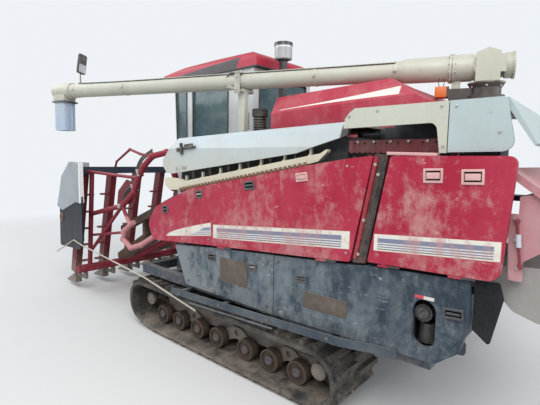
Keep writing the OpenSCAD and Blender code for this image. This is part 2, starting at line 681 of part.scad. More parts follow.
// An upright slot with round ends.
module slot(w, z0, z1, y0, y1) {
    block([-w / 2, y0, z0 + w / 2], [w / 2, y1, z1 - w / 2]);
    for (z = [z0 + w / 2, z1 - w / 2]) shaft(0, z, y0, y1, w, 32);
}
// Fuel neck with its cap over a bottle, both in a pocket of the threshing body.
module fuel_filler() {
    x = pivot_x + filler_x + 8;
    y0 = body_y1 - 100;
    color("#232323") {
        shaft(x, 772, y0, lower_y - 30, 70);
        shaft(x, 772, lower_y - 62, lower_y - 14, 88, 12);
        shaft(x - 4, 660, y0, body_y1 - 30, 50);
        translate([x - 4, body_y1 - 22, 612]) cylinder(h = 100, d = 84, $fn = 32);
    }
}

// Straw cutter behind the body, hinged at its right end.
cutter_y0 = body_y0 - 40;
cutter_y1 = half_w - 130;
cutter_x = -body_reach + 220;
module straw_cutter() {
    color("#b2465a") {
        side_plate(outline(from_pivot([[cutter_x, 1366, 10], [cutter_x - 150, 1392, 40],
            [-body_reach, 1350, 40], [-body_reach, 1230, 30], [cutter_x - 20, 1078, 20],
            [cutter_x, 1078, 10]])), cutter_y0, cutter_y1);
        // Sloping red strip over it.
        side_plate(from_pivot([[cutter_x + 45, 1487, 0], [cutter_x + 45, 1452, 0],
            [cutter_x - 95, 1345, 0], [cutter_x - 95, 1385, 0]]), cutter_y0, cutter_y1 + 16);
        // Side bracket with its slotted arm.
        side_plate(outline(from_pivot([[cutter_x + 40, 1290, 10], [cutter_x - 12, 1290, 10],
            [cutter_x - 34, 1000, 10], [cutter_x + 20, 1000, 10]])), cutter_y1 - 1, cutter_y1 + 14);
    }
    color("#8d2b33") translate([pivot_x + cutter_x + 30, cutter_y0 - 20, 1090]) {
        cylinder(h = 270, d = 36, $fn = 32);
        for (z = [60, 160]) translate([-60, -10, z]) cube([60, 40, 24]);
    }
}

// Curved plates under the straw cutter, on the body's back wall.
module spreader_plates() {
    back = pivot_x + body_back;
    color("#9a9a98") {
        for (i = [0:3]) {
            y = body_y1 - 40 - i * 220;
            side_plate(outline([[back, 1040, 0], [back - 310, 1062, 20], [back - 350, 900, 60],
                [back - 296, 815, 20], [back - 190, 850, 40], [back - 140, 900, 40], [back, 930, 0]]),
                y - 8, y);
        }
        block([back - 110, body_y1 - 700, 990], [back, body_y1 - 42, 1002]);
    }
}

module rear_flap() {
    color("#1d1e20") {
        side_plate(outline(from_pivot([[-2337 + rear, 975, 0], [-2436 + rear, 985, 10],
            [-2456 + rear, 915, 10], [-2411 + rear, 692, 10], [-2337 + rear, 750, 0]])), body_y1 + 24, body_y1 + 36);
        block([pivot_x - 2360 + rear, body_y1 - 20, 900], [pivot_x - 2337 + rear, body_y1 + 25, 930]);
        block([pivot_x - 2360 + rear, body_y1 - 20, 900], [pivot_x + body_back, body_y1 - 8, 930]);
    }
}

// Grain tank on the right, behind the cab: chamfered edges, a ridge rising to the back.
tank_x1 = pivot_x - tank_front;
tank_x0 = tank_x1 - tank_l;
tank_y0 = -half_w + 40;
tank_y1 = 240;
tank_rise = 0.041;
ridge_x = pivot_x - 1475;
module grain_tank() {
    fold = tank_top - (tank_x1 - ridge_x) * tank_rise;
    color("#a82a40") intersection() {
        translate([tank_x1, 0, 0]) rotate([0, atan(tank_rise), 0]) end_plate([[tank_y0, 600],
            [tank_y1, 600], [tank_y1, fold - 152], [tank_y1 - 90, fold], [tank_y1 - 340, fold - 47],
            [tank_y0 + 90, fold - 47], [tank_y0, fold - 160]], -tank_l - 200, 300);
        side_plate([[tank_x0, 700], [tank_x1, 700], [tank_x1, tank_top + 90], [ridge_x, tank_top + 90],
            [ridge_x, tank_top], [tank_x0, tank_top - 177]], tank_y0 - 1, tank_y1 + 1);
    }
    color("#5a2a30") for (x = [tank_x0 + 60, tank_x1 - 140]) for (y = [tank_y0 + 60, -100])
        block([x, y, chassis_top], [x + 80, y + 80, 701]);
}

// Cab: floor, sills, pillars and a back wall, open where the glass and the door are.
cab_y0 = -half_w + 60;
cab_y1 = cab_y0 + cab_w;
cab_x0 = pivot_x + 140;
cab_x1 = cab_x0 + cab_l;
cab_z0 = 940;
cab_top = cab_z0 + cab_h;
sill_z = cab_z0 + 420;
// Front line at height z: the windscreen leans forward from the sill up.
screen_lean = 50;
function screen_x(z) = cab_x1 - screen_lean * min(1, (cab_top - z) / (cab_top - sill_z));
foot_x = cab_x1 - screen_lean;
wall_t = 40;
// Left windows: a rear one, and a front one up to the windscreen's edge.
left_windows = [[cab_x0 + 377, cab_x1 - 364], [cab_x1 - 250, cab_x1 - 25]];
module left_window(row) {
    low = sill_z + 60;
    top = cab_top - pillar;
    front = row[1] > foot_x - 60;
    side_plate([[row[0], low], [front ? screen_x(low) - 25 : row[1], low],
        [front ? screen_x(top) - 25 : row[1], top], [row[0], top]], cab_y1 - 20, cab_y1 - 20 + glass_t);
}
module left_window_hole(row) {
    low = sill_z + 60;
    top = cab_top - pillar;
    front = row[1] > foot_x - 60;
    side_plate([[row[0], low], [front ? screen_x(low) - 25 : row[1], low],
        [front ? screen_x(top) - 25 : row[1], top], [row[0], top]], cab_y1 - wall_t - 1, cab_y1 + 1);
}
module cab_shell() {
    color("#e2e3dc") {
        // Floor and front wall.
        block([cab_x0, cab_y0, cab_z0], [foot_x, cab_y1, cab_z0 + wall_t]);
        block([foot_x - wall_t, cab_y0, cab_z0], [foot_x, cab_y1, sill_z - 150]);
        // Back wall with its window.
        difference() {
            block([cab_x0, cab_y0, cab_z0], [cab_x0 + wall_t, cab_y1, cab_top]);
            block([cab_x0 - 1, cab_y0 + 90, sill_z + 150], [cab_x0 + wall_t + 1, cab_y1 - 90, cab_top - 80]);
        }
        // Left wall with its window.
        difference() {
            side_plate([[cab_x0, cab_z0], [foot_x, cab_z0], [foot_x, sill_z], [screen_x(cab_top), cab_top],
                [cab_x0, cab_top]], cab_y1 - wall_t, cab_y1);
            for (row = left_windows) left_window_hole(row);
        }
        // Door frame on the right: rear and front pillars, sill and header.
        block([cab_x0, cab_y0, cab_z0], [cab_x0 + 190, cab_y0 + wall_t, cab_top]);
        side_plate([[foot_x - pillar, cab_z0], [foot_x, cab_z0], [foot_x, sill_z],
            [screen_x(cab_top), cab_top], [screen_x(cab_top) - pillar, cab_top], [foot_x - pillar, sill_z]],
            cab_y0, cab_y0 + wall_t);
        block([cab_x0, cab_y0, cab_top - pillar], [screen_x(cab_top), cab_y0 + wall_t, cab_top]);
        block([cab_x0, cab_y0, cab_top - pillar], [cab_x0 + wall_t, cab_y1, cab_top]);
        block([screen_x(cab_top) - pillar, cab_y0, cab_top - pillar], [screen_x(cab_top), cab_y1, cab_top]);
        // Base between the chassis and the floor.
        block([cab_x0 + 10, cab_y0 + 60, chassis_top], [pivot_x + 430, cab_y0 + 100, cab_z0 + 1]);
        block([pivot_x + 390, cab_y0 + 60, chassis_top], [pivot_x + 430, cab_y1 - 20, cab_z0 + 1]);
        // Fixed knuckles of the door hinges.
        for (z = [cab_z0 + 330, cab_top - 220]) {
            translate([door_x0, door_hinge_y, z + seat_gap]) cylinder(h = 60, d = 20, $fn = 24);
            block([door_x0 - 40, cab_y0 - 16, z + seat_gap], [door_x0, cab_y0 + 1, z + 60]);
        }
    }
}

module cab_glass() {
    gap = seat_gap;
    color("#3f6a74", 0.5) {
        // Windscreen.
        side_plate([[foot_x - glass_t, sill_z - 150], [foot_x, sill_z - 150], [foot_x, sill_z],
            [screen_x(cab_top - pillar), cab_top - pillar],
            [screen_x(cab_top - pillar) - glass_t, cab_top - pillar], [foot_x - glass_t, sill_z]],
            cab_y0 + wall_t + gap, cab_y1 - wall_t - gap);
        // Left and back windows.
        for (row = left_windows) left_window(row);
        block([cab_x0 + 12, cab_y0 + 90, sill_z + 150], [cab_x0 + 12 + glass_t, cab_y1 - 90, cab_top - 80]);
    }
}

module cab_roof() {
    over = 60;
    color("#b9324a") intersection() {
        side_plate(outline([[cab_x0 - over, cab_top, 0], [cab_x1 + 60, cab_top, 20],
            [cab_x1 + 215, cab_top + 52, 14], [cab_x1 + 205, cab_top + 80, 20],
            [cab_x0 + 1137, cab_top + 142, 600], [cab_x0 + 700, cab_top + 186, 500],
            [cab_x0 + 120, cab_top + 196, 160], [cab_x0 - over, cab_top + 110, 60]]), cab_y0 - 10, cab_y1 + 20);
        end_plate(outline([[cab_y0 - 10, cab_top - 1, 0], [cab_y1 + 20, cab_top - 1, 0],
            [cab_y1 + 20, cab_top + 130, 70], [cab_y1 - 120, cab_top + 197, 90],
            [cab_y0 + 120, cab_top + 197, 90], [cab_y0 - 10, cab_top + 130, 70]]), cab_x0 - 100, cab_x1 + 300);
    }
}

// Door on the cab's right side, hinged at its back edge.
door_gap = run_gap;
door_x0 = cab_x0 + 190 + door_gap;
door_hinge_y = cab_y0 - 12;
function door_rows(d) = [[door_x0 + d, cab_z0 + wall_t + door_gap + d],
    [foot_x - pillar - door_gap - d, cab_z0 + wall_t + door_gap + d],
    [foot_x - pillar - door_gap - d, sill_z],
    [screen_x(cab_top - pillar) - pillar - door_gap - d, cab_top - pillar - door_gap - d],
    [door_x0 + d, cab_top - pillar - door_gap - d]];
module cab_door() {
    color("#e2e3dc") {
        difference() {
            side_plate(door_rows(0), cab_y0, cab_y0 + 30);
            side_plate(door_rows(45), cab_y0 - 1, cab_y0 + 31);
        }
        block([door_x0 + 40, cab_y0, sill_z - 30], [foot_x - pillar - door_gap - 40, cab_y0 + 30, sill_z + 20]);
        for (z = [cab_z0 + 250, cab_top - 300]) {
            translate([door_x0, door_hinge_y, z]) cylinder(h = 80, d = 20, $fn = 24);
            block([door_x0 - 4, door_hinge_y, z], [door_x0 + 20, cab_y0 + 1, z + 80]);
        }
    }
}
module door_glass() {
    color("#3f6a74", 0.5) difference() {
        side_plate(door_rows(45), cab_y0 + 12, cab_y0 + 12 + glass_t);
        block([door_x0, cab_y0, sill_z - 30], [cab_x1, cab_y0 + 40, sill_z + 20]);
    }
}

module seat() {
    x = cab_x0 + 330;
    y = (cab_y0 + cab_y1) / 2;
    color("#33363a") {
        block([x - 160, y - 180, cab_z0 + wall_t], [x + 180, y + 180, cab_z0 + 300]);
        side_plate(outline([[x - 200, cab_z0 + 299, 0], [x + 270, cab_z0 + 299, 20],
            [x + 270, cab_z0 + 400, 40], [x - 100, cab_z0 + 390, 0], [x - 160, cab_z0 + 900, 40],
            [x - 250, cab_z0 + 900, 40]]), y - 250, y + 250);
    }
}
module console() {
    y0 = cab_y1 - wall_t - 150;
    color("#4a4d50") {
        block([cab_x0 + 250, y0, cab_z0 + wall_t], [foot_x - 350, y0 + 140, cab_z0 + 620]);
        side_plate(outline([[foot_x - 300, cab_z0 + wall_t, 0], [foot_x - 130, cab_z0 + wall_t, 0],
            [foot_x - 100, cab_z0 + 620, 30], [foot_x - 320, cab_z0 + 700, 30]]), cab_y0 + 150, cab_y1 - 200);
        for (i = [0:2]) bar([cab_x0 + 480 + i * 140, y0 + 70, cab_z0 + 610],
            [cab_x0 + 520 + i * 140, y0 + 70, cab_z0 + 780], 18);
        bar([foot_x - 230, cab_y0 + 330, cab_z0 + 660], [foot_x - 260, cab_y0 + 330, cab_z0 + 800], 24);
    }
}

// Engine air intake: neck and bowl of the pre-cleaner, and the black duct beside the tank.
cleaner_x = pivot_x - 80;
cleaner_y = -300;
module pre_cleaner() {
    color("#b7bcc0") translate([cleaner_x, cleaner_y, 0]) {
        translate([0, 0, 940]) cylinder(h = 1500, d = 80, $fn = 32);
        translate([0, 0, 2439]) cylinder(h = 90, d = 80, $fn = 32);
        translate([0, 0, 2520]) cylinder(h = 20, d1 = 90, d2 = 150, $fn = 32);
        translate([0, 0, 2539]) cylinder(h = 130, d = 176, $fn = 48);
        translate([0, 0, 2668]) cylinder(h = 32, d = 190, $fn = 48);
    }
}
module intake_duct() {
    x = pivot_x - 150;
    color("#24272b") {
        translate([x, 120, 900]) cylinder(h = 880, d = 130, $fn = 32);
        translate([x, 120, 1779]) cylinder(h = 140, d = 110, $fn = 32);
        translate([x, 120, 1918]) cylinder(h = 70, d = 150, $fn = 32);
    }
    color("#24272b") block([x - 100, 40, 900], [x + 100, body_y0, 960]);
}

// Auger line: from the column over the machine to the rest post and the front left.
column_x = pivot_x - column_back;
// Stands at the tilt axis and looks along the tube, level or with the tube's rise.
module on_auger() translate([column_x, column_y, auger_z]) rotate([0, 0, auger_turn]) children();
module on_boom() on_auger() rotate([0, -boom_rise, 0]) children();
rest_x = pivot_x - 60;
rest_r = (rest_x - column_x) / cos(auger_turn);
rest_y = column_y + rest_r * sin(auger_turn);
rest_z = auger_z + rest_r * tan(boom_rise);
module auger_rest() {
    saddle_z = rest_z - tube_d / 2 - seat_gap;
    color("#e2e3dc") {
        side_plate([[rest_x - 20, deck_z], [rest_x + 20, deck_z], [rest_x + 45, saddle_z - 20],
            [rest_x - 45, saddle_z - 20]], rest_y - 25, rest_y + 25);
        block([rest_x - 50, rest_y - 60, deck_z], [rest_x + 50, rest_y + 90, deck_z + 12]);
        block([rest_x - 45, rest_y - 90, saddle_z - 26], [rest_x + 45, rest_y + 60, saddle_z - 2]);
    }
}

ring_z = auger_z - 270;
module auger_column() {
    color("#dcdccf") translate([column_x, column_y, 0]) {
        translate([0, 0, 620]) cylinder(h = ring_z - 620, d = column_d, $fn = 48);
        translate([0, 0, 620]) cylinder(h = 60, d = column_d + 80, $fn = 48);
        translate([0, 0, ring_z - 30]) cylinder(h = 30, d = column_d + 60, $fn = 48);
    }
    color("#5a2a30") block([column_x - 120, -530, chassis_top], [column_x + 120, 30, 621]);
}

// Turret: the part that swings on the column and carries the tilt axis between two cheeks.
cheek_t = 14;
elbow_w = 196;
elbow_r = 96;
pin_d = 60;
// Pins of the tilt cylinder, forward and up from the tilt axis; the upper one is on the tube.
cyl_a = [185, -560];
cyl_b_on_tube = [200, -140];
cyl_b = [cyl_b_on_tube[0] * cos(boom_rise) - cyl_b_on_tube[1] * sin(boom_rise),
    cyl_b_on_tube[0] * sin(boom_rise) + cyl_b_on_tube[1] * cos(boom_rise)];
module auger_turret() {
    color("#d9d8c9") on_auger() {
        translate([0, 0, -270 + seat_gap]) cylinder(h = 60, d = column_d + 60, $fn = 48);
        translate([0, 0, -211]) cylinder(h = 62, d = column_d + 10, $fn = 48);
        translate([0, 0, -150]) cylinder(h = 34, d1 = column_d + 20, d2 = 252, $fn = 48);
        // Six-sided cheeks with the tilt pin.
        for (side = [-1, 1]) side_plate([[-78, -117], [78, -117], [78, 82], [0, 114], [-78, 82]],
            side * (elbow_w / 2 + 6 + cheek_t / 2) - cheek_t / 2, side * (elbow_w / 2 + 6 + cheek_t / 2) + cheek_t / 2);
        rotate([90, 0, 0]) cylinder(h = elbow_w + cheek_t + 12, d = pin_d, center = true, $fn = 32);
        // Closed stub behind the cheeks.
        for (side = [-1, 1]) block([-112, side * (elbow_w / 2 + 13) - 7, -60], [-77, side * (elbow_w / 2 + 13) + 7, 60]);
        block([-112, -elbow_w / 2 - 19, -60], [-elbow_r - 7, elbow_w / 2 + 19, 60]);
        translate([-170, 0, 0]) rotate([0, 90, 0]) cylinder(h = 62, d = 178, $fn = 48);
        translate([-172, 0, 0]) rotate([0, 90, 0]) cylinder(h = 14, d = 192, $fn = 48);
        // Ears of the tilt cylinder hang outside the column's ring.
        for (side = [-1, 1]) translate([0, side * 32 - 5, 0]) {
            translate([90, 0, -260]) cube([124, 10, 70]);
            translate([140, 0, cyl_a[1] - 26]) cube([74, 10, -200 - cyl_a[1] + 26]);
        }
        translate([cyl_a[0], 0, cyl_a[1]]) rotate([90, 0, 0])
            cylinder(h = 72, d = lift_pin_d, center = true, $fn = 32);
        // Grey guard and orange motor box in front of the cylinder.
        translate([100, 36, -235]) cube([150, 10, 85]);
        translate([248, -50, -205]) cube([80, 96, 74]);
    }
}

module auger_tube() {
    sleeve_l = 560;
    sleeve_d = tube_d + 29;
    color("#e0dfd0") on_boom() difference() {
        union() {
            rotate([90, 0, 0]) cylinder(h = elbow_w, r = elbow_r, center = true, $fn = 48);
            rotate([0, 90, 0]) cylinder(h = tube_l, d = tube_d, $fn = 48);
            rotate([0, 90, 0]) cylinder(h = sleeve_l, d = sleeve_d, $fn = 48);
            translate([sleeve_l - 1, 0, 0]) rotate([0, 90, 0]) cylinder(h = 70, d1 = sleeve_d, d2 = tube_d + 1, $fn = 48);
            // Body between the cheeks and the flanges.
            translate([97, 0, 0]) rotate([0, 90, 0]) cylinder(h = 120, d = 196, $fn = 48);
            for (x = [216, 236]) translate([x, 0, 0]) rotate([0, 90, 0]) cylinder(h = 15, d = 212, $fn = 48);
            // Lugs of the tilt cylinder and the band that lies on the rest.
            for (side = [-1, 1]) translate([cyl_b_on_tube[0] - 30, side * 20 - 5, cyl_b_on_tube[1] - 25])
                cube([60, 10, 100]);
            // Stub pins either side of the rod's eye, which swings between them.
            for (side = [-1, 1]) translate([cyl_b_on_tube[0], side * 17, cyl_b_on_tube[1]]) rotate([90, 0, 0])
                cylinder(h = 13, d = lift_pin_d, center = true, $fn = 32);
            translate([rest_r / cos(boom_rise) - 60, 0, 0]) rotate([0, 90, 0])
                cylinder(h = 120, d = tube_d + 2, $fn = 48);
        }
        rotate([90, 0, 0]) cylinder(h = elbow_w + 2, d = pin_d + 2 * seat_gap, center = true, $fn = 32);
    }
}

module auger_spout() {
    color("#dfe0da") on_boom() translate([tube_l, 0, 0]) difference() {
        union() {
            rotate([0, 90, 0]) cylinder(h = spout_l, d = tube_d + 24, $fn = 48);
            translate([60, -tube_d / 2, -tube_d / 2 - 30]) cube([180, tube_d, tube_d / 2 + 30]);
        }
        translate([-1, 0, 0]) rotate([0, 90, 0]) cylinder(h = spout_l - 15, d = tube_d - 4, $fn = 48);
        translate([75, -tube_d / 2 + 12, -tube_d]) cube([150, tube_d - 24, tube_d]);
    }
}
sleeve_h = 360;
module spout_sleeve() {
    color("#b9c9de") on_boom() translate([tube_l + 150, 0, -tube_d / 2 - 30 - seat_gap]) difference() {
        translate([-110, -tube_d / 2 - 10, -sleeve_h]) cube([208, tube_d + 20, sleeve_h]);
        translate([-95, -tube_d / 2 + 5, -sleeve_h - 1]) cube([178, tube_d - 10, sleeve_h + 2]);
    }
}
module work_lamp() {
    color("#3a3c40") on_boom() translate([tube_l - 120, 0, tube_d / 2 + seat_gap]) {
        translate([-20, -20, 0]) cube([40, 40, 12]);
        cylinder(h = 110, d = 14, $fn = 24);
        translate([-30, -55, 105]) cube([45, 110, 230]);
    }
}

// Cylinders: the barrel turns on its lower pin and the rod ends in an eye.
lift_pin_d = 25;
module barrel(l, d) {
    difference() {
        union() {
            rotate([90, 0, 0]) cylinder(h = 40, r = lift_pin_d, center = true, $fn = 32);
            cylinder(h = l, d = d, $fn = 32);
        }
        rotate([90, 0, 0]) cylinder(h = 90, d = lift_pin_d + 2 * seat_gap, center = true, $fn = 32);
        translate([0, 0, 60]) cylinder(h = l, d = d * 0.6, $fn = 32);
    }
}
module rod(l, start, d, play = seat_gap) {
    difference() {
        union() {
            translate([0, 0, start]) cylinder(h = l - start - 34, d = d, $fn = 32);
            translate([0, 0, l - 35]) cylinder(h = 35, d = 19, $fn = 32);
            translate([0, 0, l]) rotate([90, 0, 0]) cylinder(h = 20, r = lift_pin_d, center = true, $fn = 32);
        }
        translate([0, 0, l]) rotate([90, 0, 0])
            cylinder(h = 90, d = lift_pin_d + 2 * play, center = true, $fn = 32);
    }
}
// Stands at a, looking at b, both as [forward, up] beside the middle plane of a cylinder.
module aimed(a, b) {
    v = b - a;
    translate([a[0], 0, a[1]]) rotate([0, atan2(v[0], v[1]), 0]) children();
}
module auger_cylinder() {
    color("#3b3d41") on_auger() aimed(cyl_a, cyl_b) barrel(norm(cyl_b - cyl_a) - 60, 50);
}
module auger_rod() {
    color("#c8c9c6") on_auger() aimed(cyl_a, cyl_b) rod(norm(cyl_b - cyl_a), 90, 28);
}

// Header: pivot pipe, leading pipe, beams, side posts and the left tube work.
lift_y = 470;
lift_a = [pivot_x + 60, 620];
lift_b = [pivot_x + 700, 600];
beam_x = pivot_x + 1720;
low_beam_z = 260;
top_beam_x = pivot_x + 1600;
top_beam_z = 1372;
frame_y = header_w / 2 - 90;
post_y = frame_y - 120;
// Bends of the left tubes: x from the lift axis, y from the frame's edge, z.
function tube_point(row) = [pivot_x + row[0], frame_y + row[1], row[2]];
main_tube = [[864, -60, 1044], [717, -100, 1182], [645, -105, 1322], [544, -110, 1441], [431, -125, 1529],
    [309, -190, 1563], [255, -260, 1310], [70, -330, 1070], [0, -330, pivot_z]];
loop_tube = [[650, -50, 905], [800, -50, 812], [845, -50, 720], [700, -50, 650], [517, -50, 707],
    [0, -120, pivot_z]];
loop_rod = [[1600, -390, 1395], [1560, -390, 1470], [770, -100, 1591], [604, -110, 1547],
    [440, -125, 1527]];
module header_frame() {
    color("#a32838") {
        shaft(pivot_x, pivot_z, header_bearings[0] - 80, frame_y - 100, pipe_d, 48);
        bar([pivot_x, lift_y, pivot_z], [beam_x, lift_y, low_beam_z], pipe_d - 10, 32);
        shaft(beam_x, low_beam_z, -frame_y - 20, frame_y + 20, pipe_d, 32);
        block([top_beam_x - 30, -frame_y - 20, top_beam_z - 37],
            [top_beam_x + 30, frame_y + 20, top_beam_z + 37]);
        both_sides() bar([beam_x, post_y, low_beam_z], [top_beam_x, post_y, top_beam_z], 50);
        bar(tube_point([1640, -118, 884]), tube_point([864, -60, 1044]), 50);
        bar(tube_point([1688, -120, 450]), tube_point([864, -60, 1044]), 36);
        bar(tube_point([1672, -120, 640]), tube_point([812, -50, 790]), 28);
        bar(tube_point([864, -60, 1044]), tube_point([710, -50, 869]), 36);
        bent_bar([for (row = main_tube) tube_point(row)], 55);
        bent_bar([for (row = loop_tube) tube_point(row)], 50);
        bent_bar([for (row = loop_rod) tube_point(row)], 24);
        translate(tube_point([864, -60, 1044])) sphere(d = 72, $fn = 32);
        bar(tube_point([645, -105, 1322]), tube_point([1600, -60, 1360]), 32);
        // Dark side plate between the post and the main tube.
        side_plate(from_pivot([[1010, 1180, 0], [1045, 1010, 0], [700, 1090, 0], [660, 1265, 0],
            [850, 1300, 0]]), frame_y - 108, frame_y - 100);
        bar(tube_point([1040, -104, 1020]), tube_point([1100, -78, 990]), 26);
        // Lug of the lift cylinder.
        for (side = [0, 1]) translate([0, lift_y - 30 + side * 50, 0])
            side_plate([[lift_b[0] - 40, lift_b[1] - 30], [lift_b[0] + 40, lift_b[1] - 30],
                [lift_b[0] + 50, lift_b[1] + 130], [lift_b[0] - 60, lift_b[1] + 180]], 0, 10);
        shaft(lift_b[0], lift_b[1], lift_y - 30, lift_y + 30, lift_pin_d);
    }
}
module header_cylinder() {
    color("#3b3d41") translate([0, lift_y, 0]) aimed(lift_a, lift_b) barrel(norm(lift_b - lift_a) - 130, 60);
}
module header_rod() {
    color("#c8c9c6") translate([0, lift_y, 0]) aimed(lift_a, lift_b) rod(norm(lift_b - lift_a), 150, 32, 1.9);
}

// Raising cases: slanted housings with tines, in front of the top beam.
case_w = 70;
case_d = 110;
case_top = [top_beam_x + 30 + seat_gap, top_beam_z - 20];
case_low = [beam_x + 190, 170];
function case_y(i) = -frame_y + 70 + i * (2 * frame_y - 140) / (case_count - 1);
module raising_cases() {
    v = case_top - case_low;
    lean = atan2(v[0], v[1]);
    color("#7d2430") for (i = [0:case_count - 1]) translate([case_low[0], case_y(i), case_low[1]])
        rotate([0, lean, 0]) {
            translate([0, -case_w / 2, 0]) cube([case_d, case_w, norm(v)]);
            // The last case has its tines on the inside.
            side = i == case_count - 1 ? -1 : 1;
            for (k = [0:tine_count - 1]) translate([20, side > 0 ? case_w / 2 - 1 : -case_w / 2 - 89,
                120 + k * (norm(v) - 200) / tine_count]) cube([40, 90, 12]);
        }
}

module dividers() {
    color("#3a3d42") for (i = [0:case_count - 1]) {
        y = case_y(i);
        hull() {
            translate([tip_x - 20, y - 6, 30]) cube([20, 12, 14]);
            translate([beam_x + 180, y - case_w / 2, 60]) cube([30, case_w, 110 - seat_gap]);
        }
        block([beam_x - 30, y - 15, 140], [beam_x + 185, y + 15, 165]);
        block([beam_x - 30, y - 15, 140], [beam_x + 30, y + 15, low_beam_z - pipe_d / 2 - seat_gap]);
    }
}

module cutter_bar() {
    n = 40;
    w = 2 * frame_y - 40;
    color("#6d6f70") {
        block([beam_x + pipe_d / 2 + seat_gap, -w / 2, low_beam_z - 6], [beam_x + 90, w / 2, low_beam_z + 6]);
        for (i = [0:n - 1]) translate([beam_x + 88, -w / 2 + (i + 0.5) * w / n, low_beam_z - 3])
            linear_extrude(6) polygon([[0, -w / n / 2 + 2], [70, 0], [0, w / n / 2 - 2]]);
    }
}

// Feeder that carries the cut stalks back to the feed chain.
module straw_feeder() {
    color("#34302f") {
        side_plate(outline([[pivot_x + 240, 1010, 20], [pivot_x + 900, 640, 30], [pivot_x + 1560, 330, 30],
            [pivot_x + 1600, 400, 30], [pivot_x + 960, 740, 30], [pivot_x + 280, 1110, 30]]), 540, 660);
        side_plate(outline([[pivot_x + 260, 1120, 20], [pivot_x + 1300, 700, 30], [pivot_x + 1340, 760, 30],
            [pivot_x + 280, 1190, 30]]), 700, 760);
        for (y = [-700, -300, 100]) side_plate(outline([[pivot_x + 1350, 420, 30], [pivot_x + 1640, 320, 30],
            [pivot_x + 1660, 400, 30], [pivot_x + 1370, 500, 30]]), y, y + 200);
        shaft(pivot_x + 1500, 422.5, -frame_y + 60, 560, 44);
        block([pivot_x + 880, 640, 700], [pivot_x + 920, 740, 900]);
    }
}

// Silver side shields, and the black flap below each.
shield_rows = [[1440, 1450, 10], [1680, 1462, 30], [1892, 1300, 60], [1925, 1206, 40], [2031, 958, 25],
    [1892, 922, 30], [1556, 1038, 40], [1440, 1030, 10]];
flap_rows = [[1440, 1080, 0], [1556, 1085, 0], [1892, 960, 0], [1985, 930, 0], [2004, 511, 30],
    [1500, 529, 60], [1440, 640, 20]];
module header_shields() {
    y = header_w / 2;
    color("#b9bfc6") {
        side_plate(outline(from_pivot(shield_rows)), y - 40, y);
        // The right one is cut shorter at the back, for the cab door.
        side_plate(outline(from_pivot(concat([[1550, 1456, 10]], [for (i = [1:5]) shield_rows[i]],
            [[1550, 1040, 10]]))), -y, -y + 40);
        both_sides() block([pivot_x + 1575, y - 170, top_beam_z + 37 + seat_gap],
            [pivot_x + 1675, y - 39, 1455]);
    }
    color("#26303c") both_sides() side_plate(outline(from_pivot(flap_rows)), y - 30, y - 10);
}
module header_lamps() {
    y = header_w / 2;
    color("#e07a1e") both_sides() translate([pivot_x + 1935, y - 10, 840]) rotate([-90, 0, 0])
        cylinder(h = 8, d = 90, $fn = 32);
}

// Thin rod along the left side that keeps the standing crop off the machine.
module guide_rod() {
    // Columns: x from the lift axis, z.
    bends = [[2080, 425], [1629, 618], [1451, 589], [268, 483], [-442, 363]];
    y = max(header_w / 2 - 9.7, track_y + track_w / 2 + 10);
    d = 14;
    color("#b5a999") side_plate(from_pivot([for (k = [-1, 1]) for (i = [0:4])
        [bends[k < 0 ? i : 4 - i][0], bends[k < 0 ? i : 4 - i][1] + k * d / 2, 0]]), y, y + d);
}

chassis_frame();
track_frame_left();
track_frame_right();
track_wheels_left();
track_wheels_right();
rubber_track_left();
rubber_track_right();
side_rails();
tie_down_eyes();
engine_block();
thresher_body();
side_drive();
feed_chain();
clamp_rail();
drum_cover();
window_cover();
rear_cover();
straw_conveyor();
front_side_panel();
rear_side_panel();
centre_post();
lower_cover_front();
lower_cover_rear();
fuel_filler();
straw_cutter();
spreader_plates();
rear_flap();
grain_tank();
cab_shell();
cab_roof();
cab_glass();
cab_door();
door_glass();
seat();
console();
pre_cleaner();
intake_duct();
auger_rest();
auger_column();
auger_turret();
auger_tube();
auger_spout();
spout_sleeve();
work_lamp();
auger_cylinder();
auger_rod();
header_frame();
raising_cases();
dividers();
cutter_bar();
straw_feeder();
header_shields();
header_lamps();
guide_rod();
header_cylinder();
header_rod();
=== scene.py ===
import bpy
import bmesh
import math
from mathutils import Matrix, Vector


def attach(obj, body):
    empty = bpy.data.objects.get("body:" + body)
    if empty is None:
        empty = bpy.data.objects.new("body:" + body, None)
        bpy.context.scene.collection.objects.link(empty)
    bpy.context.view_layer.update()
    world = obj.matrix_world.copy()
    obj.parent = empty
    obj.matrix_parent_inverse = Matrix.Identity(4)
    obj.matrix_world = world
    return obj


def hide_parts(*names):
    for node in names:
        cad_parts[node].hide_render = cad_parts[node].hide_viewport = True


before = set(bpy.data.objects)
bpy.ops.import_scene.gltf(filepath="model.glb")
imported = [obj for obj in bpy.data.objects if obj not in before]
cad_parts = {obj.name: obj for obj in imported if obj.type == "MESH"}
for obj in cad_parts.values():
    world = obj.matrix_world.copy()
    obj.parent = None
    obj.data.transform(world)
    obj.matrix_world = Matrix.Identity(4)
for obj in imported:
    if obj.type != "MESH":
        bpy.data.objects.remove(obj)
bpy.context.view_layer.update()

# Camera: the photograph is taken from the machine's left rear, at eye height, with a phone's wide lens.
# Its place and direction were fitted to the machine's straight edges.
scene = bpy.context.scene
eye = Vector((-2.644, 3.02, 1.5))
look = Vector((0.6508, -0.7524, -0.1018)).normalized()
image_right = Vector((-0.7552, -0.6553, 0.0149)).normalized()
image_up = image_right.cross(look)
camera_data = bpy.data.cameras.new("photo_camera")
camera_data.sensor_width = 36.0
camera_data.lens = 27.0
camera_data.clip_end = 100.0
camera = bpy.data.objects.new("photo_camera", camera_data)
scene.collection.objects.link(camera)
camera_turn = Matrix((image_right, image_up, -look)).transposed().to_4x4()
camera.matrix_world = Matrix.Translation(eye) @ camera_turn
scene.camera = camera

